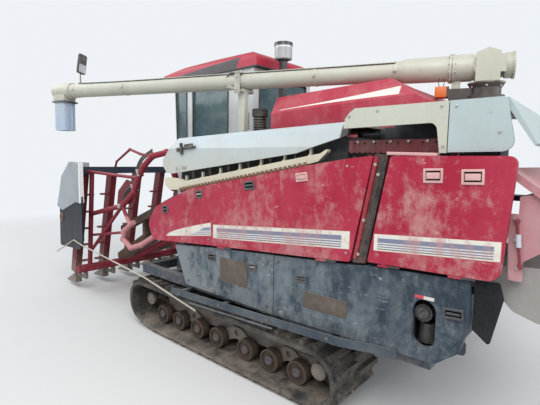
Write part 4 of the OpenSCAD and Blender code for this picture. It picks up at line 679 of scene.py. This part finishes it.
# Straw cutter, spreader plates and rear flap: faded red and pinkish sheet steel with a bolted bracket,
# dull curved plates below, and a black rubber flap. A gas strut holds the cutter's cover.
dress(paint("faded_cutter_red", (0.42, 0.14, 0.16), (0.5, 0.3, 0.32), 0.4, 0.6, (0.25, 0.18, 0.15)), "straw_cutter")
dress(paint("dull_spreader_plates", (0.33, 0.33, 0.33), (0.26, 0.24, 0.22), 0.6, 0.6, (0.2, 0.13, 0.09)),
      "spreader_plates")
dress(rubber("black_flap_rubber", (0.005, 0.006, 0.009), 0.05, 0.0, 0.9), "rear_flap")
sleeve_tint = paint("white_blue_cylinder", (0.55, 0.62, 0.72), (0.5, 0.55, 0.62), 0.2, 0.2)
cutter_red = paint("dark_strut_red", (0.19, 0.01, 0.022), (0.24, 0.03, 0.04), 0.2, 0.5, (0.5, 0.45, 0.4))
strut = [pipe([at(-2.48, 1.043, 1.262), at(-2.49, 1.043, 1.17)], 0.011, cutter_red, "VECTOR"),
         pipe([at(-2.487, 1.043, 1.205), at(-2.492, 1.043, 1.15)], 0.022, sleeve_tint, "VECTOR"),
         pipe([at(-2.49, 1.043, 1.16), at(-2.503, 1.043, 1.07)], 0.01, cutter_red, "VECTOR")]
strut += [turned(at(x, 1.041, z), 0.022, 0.018, cutter_red) for x, z in ((-2.48, 1.262), (-2.503, 1.068))]
strut += studs(1.036, ((-2.47, 1.265), (-2.475, 1.18), (-2.49, 1.06)), 0.018, 0.01, bright)
finish(strut, "cutter_strut", "cutter")


# Grain tank: red sheet steel with chamfered edges, with painted shade that deepens below the fold and a painted
# highlight along the chamfer that swells towards the back. A round grey lens stands at its back corner.
def tank_highlight_and_shade(coat, shade):
    x = coat.axis("X")
    height = coat.axis("Z")
    run = (lift_x - 0.48) - x
    middle = 1.947 + run * 0.062
    half = run * run * 0.024 + 0.0028
    near = coat.axis("Y").over(0.12, 0.13)
    # Painted highlight: a pale stroke along the chamfer on the near side.
    highlight_stroke = (height - middle + half).over(-0.001, 0.001) * (middle + half - height).over(-0.001, 0.001)
    highlight_stroke = highlight_stroke * near * run.between(0.0, 1.09, 0.004)
    # Painted shade: the sheet grows darker below the fold.
    shade_below_fold = (1.9 + run * 0.041 - height).over(0.0, 0.25)
    shade = coat.mix(shade_below_fold * 0.45, shade, (0.2, 0.012, 0.025))
    return coat.mix(highlight_stroke, shade, (0.8, 0.77, 0.7))


dress(paint("pinkish_red_tank", (0.4, 0.018, 0.045), (0.47, 0.06, 0.09), 0.16, 0.45, (0.62, 0.5, 0.46),
            marks=tank_highlight_and_shade, scrub=0.25, dust_colour=PINK_DUST), "grain_tank")
lens_grey = paint("grey_lens", (0.45, 0.47, 0.48), (0.52, 0.53, 0.52), 0.3, 0.2, gloss=0.2)
tank_lens = turned(at(-1.69, 0.246, 1.845), 0.085, 0.02, lens_grey, steps=[(0.01, 0.004), (0.008, -0.002)])
finish([tank_lens], "tank_lens", "machine")


# Cab: grey-white pressed shell with black rubber round its tinted panes, under a crimson roof moulding,
# with a slatted vent at its left rear corner. The door has a black pull handle.
dress(paint("grey_white_cab", (0.56, 0.58, 0.58), (0.5, 0.51, 0.5), 0.3, 0.25, (0.3, 0.27, 0.23)), "cab_shell",
      "cab_door")


def roof_marks(coat, shade):
    height = coat.axis("Z")
    ahead = coat.axis("X") - lift_x
    lip = (2.474 - height).over(-0.002, 0.002)
    visor = (2.572 - (ahead - 0.5) * 0.068 - height).over(-0.002, 0.002)
    visor = visor * coat.axis("Y").over(-0.128, -0.124)
    visor = visor * (ahead + (height - 2.46) * 0.6).over(0.385, 0.389)
    return coat.mix(lip.math("MAXIMUM", lip, visor), shade, (0.05, 0.045, 0.052))


dress(paint("crimson_cab_roof", (0.42, 0.008, 0.034), (0.47, 0.03, 0.06), 0.12, 0.3, (0.6, 0.45, 0.42),
            marks=roof_marks), "cab_roof")


def glass(name, colour):
    """Tinted cab glass with a film of dust."""
    coat = Coat(name, Roughness=0.06, Alpha=0.55)
    cloud = coat.noise(3.0, 5.0, 0.6)
    film = cloud.over(0.35, 0.7)
    shade = coat.mix(film * 0.5, colour, (0.3, 0.36, 0.36))
    coat.material.surface_render_method = "BLENDED"
    return coat.feed(Base_Color=shade, Roughness=film * 0.2 + 0.05, Alpha=film * 0.12 + 0.62)


dress(glass("tinted_glass", (0.045, 0.11, 0.125)), "cab_glass", "door_glass")
gasket = rubber("pane_rubber", (0.018, 0.018, 0.02), 0.2, 0.0, 0.6)
frames = []
for x0, x1, top in ((0.6728, 1.2818, 1.2818), (1.3958, 1.5745, 1.617)):
    side_pane = [(x, -0.089, z) for x, z in ((x0, 1.42), (x1, 1.42), (top, 2.4), (x0, 2.4))]
    frames.append(pipe(side_pane, 0.02, gasket, "VECTOR", True))
back_pane = [(0.295, y, z) for y, z in ((-1.0, 1.51), (-0.18, 1.51), (-0.18, 2.38), (-1.0, 2.38))]
frames.append(pipe(back_pane, 0.02, gasket, "VECTOR", True))
for k in range(7):
    z = 1.83 + k * 0.026
    frames.append(block((0.35, -0.0915, z), (0.48, -0.086, z + 0.012), dark_frame, 0.002))
finish(frames, "pane_rubbers", "machine")
grip_x = 1.47
handle = [pipe([(grip_x, -1.118, 1.5), (grip_x, -1.14, 1.52), (grip_x, -1.14, 1.7), (grip_x, -1.118, 1.72)],
               0.02, black)]
handle += [block((grip_x - 0.025, -1.122, z), (grip_x + 0.025, -1.111, z + 0.042), black) for z in (1.478, 1.7)]
finish(handle, "door_handle", "door")


# Driver's seat: two stitched cushions of dark cloth over foam, on a moulded pedestal that slides on two
# runners. The foam crowns between the piping, and the back curves round the driver.
cloth_coat = Coat("dark_seat_cloth", Roughness=0.88)
weave = cloth_coat.noise(420.0, 2.0, 0.5, stretch=(1.0, 2.2, 1.0))
cloth_fade = cloth_coat.noise(6.0, 4.0, 0.6).over(0.4, 0.65)
cloth_colour = cloth_coat.mix(cloth_fade, (0.03, 0.033, 0.04), (0.075, 0.078, 0.085))
seat_cloth = cloth_coat.feed(Base_Color=cloth_coat.mix(weave.over(0.45, 0.6) * 0.4, cloth_colour,
                                                       (0.11, 0.11, 0.115)),
                             Normal=cloth_coat.bump(weave, 0.0012, 0.6))


def settle(thing):
    pick(thing)
    bpy.ops.object.transform_apply(location=True, rotation=True, scale=True)


def cushion(low, high, crown, along):
    """A foam pad: its faces crown along their normals, its sides pull in between the corners."""
    thing = block(low, high, seat_cloth, 0.018)
    settle(thing)
    edit(bpy.ops.mesh.subdivide, number_cuts=7)
    middle = [(a + b) / 2 for a, b in zip(low, high)]
    half = [(b - a) / 2 for a, b in zip(low, high)]
    for point in thing.data.vertices:
        share = [(point.co[k] - middle[k]) / half[k] for k in range(3)]
        puff = [max(0.0, 1.0 - share[k] ** 2) for k in range(3)]
        flat = [k for k in range(3) if k != along]
        groove = 0.55 if abs(abs(share[1]) - 0.42) < 0.1 else 1.0
        point.co[along] += crown * share[along] * puff[flat[0]] * puff[flat[1]] * groove
        for k in flat:
            point.co[k] -= 0.006 * share[k] * puff[along] * (1.0 - abs(share[along]))
    rounding = thing.modifiers.new("rounding", "SUBSURF")
    rounding.levels = 1
    rounding.render_levels = 1
    pick(thing)
    bpy.ops.object.modifier_apply(modifier="rounding")
    return thing


def leaning(x, z, degrees, axis):
    """Turns a mesh about a point in the plane y = 0."""
    foot = Vector((x, 0.0, z))
    return Matrix.Translation(foot) @ Matrix.Rotation(math.radians(degrees), 4, axis) @ Matrix.Translation(-foot)


base_pad = finish([cushion((0.412, -0.828, 1.25), (0.88, -0.352, 1.345), 0.02, 2)], "seat_base_cushion", "machine",
                  60.0)
back_pad = cushion((0.418, -0.822, 1.345), (0.505, -0.358, 1.82), 0.02, 0)
back_pad.data.transform(leaning(0.505, 1.345, -7.0, "Y"))
back_pad = finish([back_pad], "seat_back_cushion", "machine", 60.0)
pedestal = [press(block((0.47, -0.765, 0.984), (0.8, -0.415, 1.238), black, 0.012), UP, [(0.03, -0.006)])]
pedestal += [block((0.44, y, 1.226), (0.85, y + 0.025, 1.25), spring_steel) for y in (-0.74, -0.465)]
pedestal = finish(pedestal, "seat_pedestal", "machine")
for part in (base_pad, back_pad, pedestal):
    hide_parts("seat")


# Driver's console: grey moulded housing with a row of levers in black ball grips, and the steering
# lever with its own grip.
dress(paint("grey_console", (0.1, 0.105, 0.11), (0.15, 0.15, 0.15), 0.35, 0.2, (0.25, 0.25, 0.24)), "console")
grips = [turned((0.8158 + i * 0.14, -0.21, 1.7), 0.034, 0.05, black, "Z", 0.012) for i in range(3)]
grips.append(turned((1.3358, -0.76, 1.715), 0.042, 0.07, black, "Z", 0.014))
finish(grips, "lever_grips", "machine")


# Pre-cleaner on the engine's intake, and the ribbed black duct beside the tank: a black neck, a clear grey
# bowl with a bright ring and a dark lid.
def cleaner_marks(coat, shade):
    height = coat.axis("Z")
    shade = coat.mix((2.532 - height).over(-0.002, 0.002), shade, (0.02, 0.021, 0.024))
    shade = coat.mix(height.between(2.65, 2.668, 0.001), shade, (0.78, 0.79, 0.8))
    return coat.mix(height.over(2.668, 2.67), shade, (0.045, 0.048, 0.055))


dress(paint("clear_grey_bowl", (0.36, 0.38, 0.4), (0.44, 0.45, 0.46), 0.3, 0.2, gloss=0.18, marks=cleaner_marks),
      "pre_cleaner")
dress(rubber("black_duct_rubber", (0.022, 0.024, 0.028), 0.3), "intake_duct")
duct_rings = [(0.0058, 0.12, 1.798 + k * 0.024) for k in range(5)]
first = turned(duct_rings[0], 0.134, 0.014, black, "Z", 0.0055, 32)
finish(copies(first, duct_rings[1:]), "duct_ribs", "machine")
bowl_x, bowl_y = 0.0758, -0.3
fins = [turned((bowl_x, bowl_y, 2.7005), 0.12, 0.006, black, "Z", 0.002, 32, [(0.012, -0.002)])]
for k in range(12):
    a = k * math.pi / 6
    x, y = bowl_x + 0.089 * math.cos(a), bowl_y + 0.089 * math.sin(a)
    fins.append(pipe([(x, y, 2.545), (x, y, 2.648)], 0.005, lens_grey, "VECTOR"))
finish(fins, "cleaner_fins", "machine")


# Unloading auger: a cream column and a turret that swings on it with an orange motor box and a grey
# junction box, and the tube that tilts between two cheeks, bolted at its flanges. It lies in a clamp
# on the rest by the cab.
cream_tube = paint("creamy_grey_auger", (0.53, 0.53, 0.45), (0.47, 0.46, 0.38), 0.3, 0.45, (0.3, 0.24, 0.18))
dress(cream_tube, "auger_column", "auger_tube", "auger_spout", "auger_rest")


def collar_marks(coat, shade):
    """Grease and dust darken the turret's ring where it turns on the column."""
    ring = (2.085 - coat.axis("Z") + (coat.noise(20.0) - 0.5) * 0.03).over(-0.004, 0.01)
    return coat.mix(ring, shade, (0.06, 0.05, 0.044))


dress(paint("cream_turret", (0.5, 0.5, 0.42), (0.44, 0.44, 0.36), 0.3, 0.5, (0.3, 0.24, 0.18), marks=collar_marks),
      "auger_turret")
dress(paint("black_barrel_paint", (0.03, 0.032, 0.036), (0.08, 0.08, 0.08), 0.4, 0.5), "auger_cylinder",
      "header_cylinder")
dress(bare("polished_rods", (0.62, 0.61, 0.6), 0.15, 1.0, 0.22), "auger_rod", "header_rod")
# How the tube lies at rest, in degrees: swung to the left of straight ahead, and raised a little.
swing_rest, lift_rest = 16.0, 1.0
boom_pivot = Vector((-1.8442, -0.3, 2.205))
swung = Matrix.Translation(boom_pivot) @ Matrix.Rotation(math.radians(swing_rest), 4, "Z")
raised = swung @ Matrix.Rotation(math.radians(-lift_rest), 4, "Y")
orange = paint("orange_motor_box", (0.72, 0.16, 0.03), (0.62, 0.16, 0.05), 0.25, 0.4, (0.3, 0.2, 0.15))
box_grey = paint("grey_junction_box", (0.27, 0.28, 0.29), (0.34, 0.34, 0.33), 0.4, 0.3)
motor = [press(block((0.262, -0.053, -0.208), (0.346, 0.049, -0.128), orange, 0.006), UP, [(0.012, 0.003)]),
         press(block((0.252, -0.104, -0.2), (0.318, -0.056, -0.14), box_grey, 0.005), UP, [(0.008, 0.003)]),
         pipe([(0.316, 0.03, -0.13), (0.322, 0.044, -0.088), (0.304, 0.052, -0.06), (0.284, 0.044, -0.086),
               (0.288, 0.03, -0.13)], 0.005, black)]
for k in range(6):
    a = k * math.pi / 3 + 0.5
    motor.append(turned((0.104 * math.cos(a), 0.104 * math.sin(a), -0.146), 0.018, 0.012, bright, "Z", 0.001, 6))
finish(motor, "auger_motor_box", "turret", carried=swung)
tube_bits = []
for k in range(10):
    a = k * math.pi / 5 + 0.2
    tube_bits.append(turned((0.2335, 0.097 * math.cos(a), 0.097 * math.sin(a)), 0.016, 0.05, bright, "X", 0.001, 6))


def band(x, d, width, coat):
    """A strap round the tube with a clamping bolt beside it."""
    ring = turned((x, 0.0, 0.0), d, width, coat, "X", 0.0015, 40)
    lug = block((x - width * 0.4, d / 2 - 0.004, -0.012), (x + width * 0.4, d / 2 + 0.016, 0.012), coat, 0.002)
    return [ring, lug, turned((x, d / 2 + 0.008, 0.0), 0.014, 0.034, bright, "Z", 0.001, 6)]


for x in (0.64, 1.3, 3.45, 4.2):
    tube_bits += band(x, 0.162, 0.03, cream_tube)
tube_bits.append(pipe([(0.64, 0.06, 0.058), (1.3, 0.06, 0.056), (2.4, 0.061, 0.056), (3.45, 0.06, 0.058),
                       (4.13, 0.05, 0.07)], 0.01, black))
finish(tube_bits, "auger_tube_fittings", "boom", carried=raised)
grimy = paint("grimy_cream_casting", (0.5, 0.49, 0.42), (0.34, 0.32, 0.27), 0.5, 0.9, (0.09, 0.08, 0.07), scrub=0.5,
              dust_colour=(0.16, 0.14, 0.12))
clamp = [block((0.06, 0.16, 2.13), (0.132, 0.172, 2.25), grimy, 0.004),
         block((0.06, 0.336, 2.12), (0.132, 0.348, 2.31), grimy, 0.004),
         block((0.04, 0.3, 2.296), (0.152, 0.352, 2.318), grimy, 0.006),
         block((0.13, 0.34, 2.17), (0.23, 0.352, 2.196), grimy, 0.004, -24.0),
         pipe([(0.12, 0.352, 2.305), (0.17, 0.362, 2.3), (0.215, 0.362, 2.27), (0.24, 0.356, 2.235),
               (0.232, 0.352, 2.19)], 0.013, dark_frame)]
clamp += bolts([(0.096, 0.35, 2.15), (0.096, 0.35, 2.27), (0.205, 0.35, 2.178)], 0.022, 0.012, bright)
finish(clamp, "rest_clamp", "machine")


# Discharge sleeve: pale blue coated cloth, gathered round the spout's mouth under a strap and hanging
# open below, with soft folds down its four sides.
sleeve_coat = Coat("pale_blue_coated_cloth", Roughness=0.7)
threads = sleeve_coat.noise(300.0, 2.0, 0.5)
stain = sleeve_coat.noise(5.0, 5.0, 0.65).over(0.45, 0.68)
sleeve_blue = sleeve_coat.feed(Base_Color=sleeve_coat.mix(stain * 0.55, (0.4, 0.49, 0.62), (0.5, 0.49, 0.45)),
                               Normal=sleeve_coat.bump(threads, 0.001, 0.4))
# The tube's length from its pivot, and the middle of its spout.
tube_l = 4.28
spout_x = tube_l + 0.15
deselect()
bpy.ops.mesh.primitive_cylinder_add(vertices=72, radius=0.5, depth=1.0, end_fill_type="NOTHING")
sleeve = bpy.context.active_object
edit(bpy.ops.mesh.subdivide, number_cuts=3)
for point in sleeve.data.vertices:
    a = math.atan2(point.co.y, point.co.x)
    drop = 0.5 - point.co.z
    square = 1.0 / max(abs(math.cos(a)), abs(math.sin(a))) ** 0.8
    fold = 1.0 + (0.025 * math.sin(7.0 * a + 1.3) + 0.015 * math.sin(13.0 * a)) * min(1.0, drop * 2.5)
    point.co = Vector((spout_x - 0.006 + 0.086 * math.cos(a) * square * fold, 0.078 * math.sin(a) * square * fold,
                       -0.109 - 0.35 * drop))
sleeve.data.materials.append(sleeve_blue)
pick(sleeve)
edit(bpy.ops.mesh.normals_make_consistent, inside=False)
wall = sleeve.modifiers.new("cloth_wall", "SOLIDIFY")
wall.thickness = 0.003
wall.offset = -1.0
bpy.ops.object.modifier_apply(modifier="cloth_wall")
sleeve = finish([sleeve], "discharge_sleeve", "boom", 60.0, raised)
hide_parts("spout_sleeve")
strap = [block((spout_x + x0, y0, -0.138), (spout_x + x1, y1, -0.118), black, 0.002)
         for x0, y0, x1, y1 in ((-0.114, -0.09, 0.1, -0.084), (-0.114, 0.084, 0.1, 0.09),
                                (-0.112, -0.088, -0.106, 0.088), (0.094, -0.088, 0.1, 0.088))]
finish(strap, "sleeve_strap", "boom", carried=raised)


# Work lamp on the tube's end: a dark moulded housing with a pale lens below, leaning a little on a
# thin steel stem.
lamp_x = tube_l - 0.12
lamp_dark = rubber("lamp_housing_plastic", (0.035, 0.037, 0.042), 0.35, 0.0, 0.45)
lamp_bits = [block((lamp_x - 0.022, -0.02, 0.079), (lamp_x + 0.02, 0.02, 0.091), bright),
             turned((lamp_x, 0.0, 0.14), 0.014, 0.11, spring_steel, "Z", 0.001),
             block((lamp_x - 0.03, -0.055, 0.185), (lamp_x + 0.015, 0.055, 0.412), lamp_dark, 0.02),
             press(block((lamp_x - 0.036, -0.046, 0.196), (lamp_x - 0.028, 0.046, 0.29), lens_grey, 0.003),
                   (-1.0, 0.0, 0.0), [(0.006, -0.002)])]
for part in lamp_bits[2:]:
    settle(part)
    part.data.transform(leaning(lamp_x, 0.195, 9.0, "X"))
work_lamp = finish(lamp_bits, "work_lamp_housing", "boom", carried=raised)
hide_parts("work_lamp")


# Header: red pipes and posts with a dark blue top beam and a dark red gusset plate, faded pinkish on the
# low loop, and two hydraulic hoses strapped along its main pipe.
def header_marks(coat, shade):
    x = coat.axis("X")
    y = coat.axis("Y")
    height = coat.axis("Z")
    beam = x.over(1.7245, 1.7255) * height.between(1.334, 1.41)
    gusset = y.between(0.941, 0.951, 0.0003) * x.between(0.8, 1.21) * height.over(0.99, 1.0)
    loop = y.over(0.955, 0.96) * (1.035 - x).over(0.0, 0.01) * (0.96 - height).over(0.0, 0.02)
    shade = coat.mix(loop * 0.85, shade, (0.55, 0.24, 0.25))
    shade = coat.mix(gusset * 0.9, shade, (0.13, 0.016, 0.024))
    return coat.mix(beam, shade, (0.02, 0.028, 0.05))


dress(paint("dull_red_header", (0.25, 0.01, 0.028), (0.19, 0.018, 0.032), 0.1, 0.4, (0.12, 0.09, 0.08), 0.16, 0.5,
            header_marks), "header_frame")
dress(paint("dark_red_cases", (0.15, 0.008, 0.018), (0.11, 0.016, 0.022), 0.2, 0.7, (0.3, 0.25, 0.2), 0.34, 0.5),
      "raising_cases")
dress(paint("dark_divider_steel", (0.03, 0.034, 0.042), (0.06, 0.062, 0.066), 0.35, 0.9,
            (0.42, 0.4, 0.38), 0.3, 0.5), "dividers")
dress(bare("cutter_knife_steel", (0.3, 0.29, 0.28), 0.7, 0.8, 0.45), "cutter_bar")
dress(bare("brown_feeder_steel", (0.06, 0.05, 0.044), 0.8, 0.3, 0.65), "straw_feeder")
hose_rubber = rubber("black_hose_rubber", (0.018, 0.018, 0.02), 0.25, 0.0, 0.5)
hoses = []
for k, lift in enumerate((0.034, 0.052)):
    course = [at(0.864, 0.99, 1.08 + lift * 0.4), at(0.78, 0.972 + k * 0.012, 1.15 + lift),
              at(0.717, 0.952, 1.2 + lift), at(0.65 + lift, 0.945, 1.33),
              at(0.56 + lift, 0.94, 1.44 + lift), at(0.435, 0.925, 1.535 + lift)]
    hoses.append(pipe(course, 0.018, hose_rubber))
for x, z in ((0.69, 1.25), (0.59, 1.395)):
    hoses.append(block(at(x - 0.01, 0.912, z - 0.03), at(x + 0.062, 0.976, z - 0.014), bright, 0.003, -60.0))
finish(hoses, "header_hoses", "header")
joint_cap = turned(at(0.864, 1.024, 1.044), 0.046, 0.018, bright, steps=[(0.008, 0.004)])
finish([joint_cap], "header_joint_cap", "header")


# Header shields: silver painted sheet with a pale rear edge over black rubber flaps, round orange side
# lenses in black bezels, and the thin grey rod that keeps the standing crop off the machine.
def shield_marks(coat, shade):
    x = coat.axis("X")
    out = coat.axis("Y").math("ABSOLUTE", coat.axis("Y"))
    flap = (out - 1.1302).over(-0.0002, 0.0002)
    low = (1.1 - coat.axis("Z")).over(0.0, 0.001)
    skirt = (1.0 - flap) * low * out.over(1.1095, 1.1097)
    shade = coat.mix((1.625 - x).over(-0.002, 0.002), shade, (0.8, 0.8, 0.78))
    return coat.mix(skirt, shade, (0.012, 0.016, 0.026))


dress(paint("silver_shields", (0.38, 0.41, 0.45), (0.3, 0.32, 0.35), 0.12, 0.45, (0.2, 0.18, 0.16),
            marks=shield_marks), "header_shields")
dress(paint("orange_lenses", (0.75, 0.2, 0.02), (0.65, 0.16, 0.02), 0.2, 0.1, gloss=0.15), "header_lamps")
for side, name in SIDES:
    rim = [(0.01, 0.002)] if side > 0 else []
    bezel = turned(at(1.935, side * 1.132, 0.84), 0.094, 0.01, black, "Y", 0.002, 32, rim)
    places = [(1.48, 1.42), (1.64, 1.43), (1.89, 1.23), (1.99, 0.975), (1.58, 1.055)]
    heads = studs(side * 1.141, places, 0.018, 0.008, bright)
    finish([bezel] + heads, "shield_fittings_" + name, "header")
rod_line = [(2.08, 0.425), (1.629, 0.618), (1.451, 0.589), (0.268, 0.483), (-0.442, 0.363)]
rod_beige = paint("grey_beige_rod", (0.5, 0.46, 0.4), (0.42, 0.36, 0.3), 0.4, 0.6, (0.25, 0.2, 0.16))
crop_rod = pipe([at(x, 1.1373, z) for x, z in rod_line], 0.0138, rod_beige, "VECTOR")
crop_rod = finish([crop_rod], "crop_rod", "header")
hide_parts("guide_rod")


# Floor: plain and pale, wide enough to fill the view, and fading into the pale world with distance
# where the camera sees it.
bpy.ops.mesh.primitive_plane_add(size=60.0)
floor = bpy.context.active_object
floor.name = "studio_floor"
ground = Coat("pale_floor", Roughness=0.9, Base_Color=(0.66, 0.66, 0.65, 1.0))
reach = ground.add("ShaderNodeVectorMath", {"operation": "LENGTH"}, [ground.place()], "Value")
seen = ground.add("ShaderNodeLightPath", {}, {}, "Is Camera Ray")
glow = ground.add("ShaderNodeEmission", {}, {"Color": (0.86, 0.89, 0.92, 1.0), "Strength": 1.0})
plain = Wire(ground, ground.shader.outputs[0])
faded = ground.add("ShaderNodeMixShader", {}, [reach.over(3.5, 9.0) * seen, plain, glow])
ground.tree.links.new(faded.socket, ground.tree.nodes["Material Output"].inputs["Surface"])
floor.data.materials.append(ground.material)
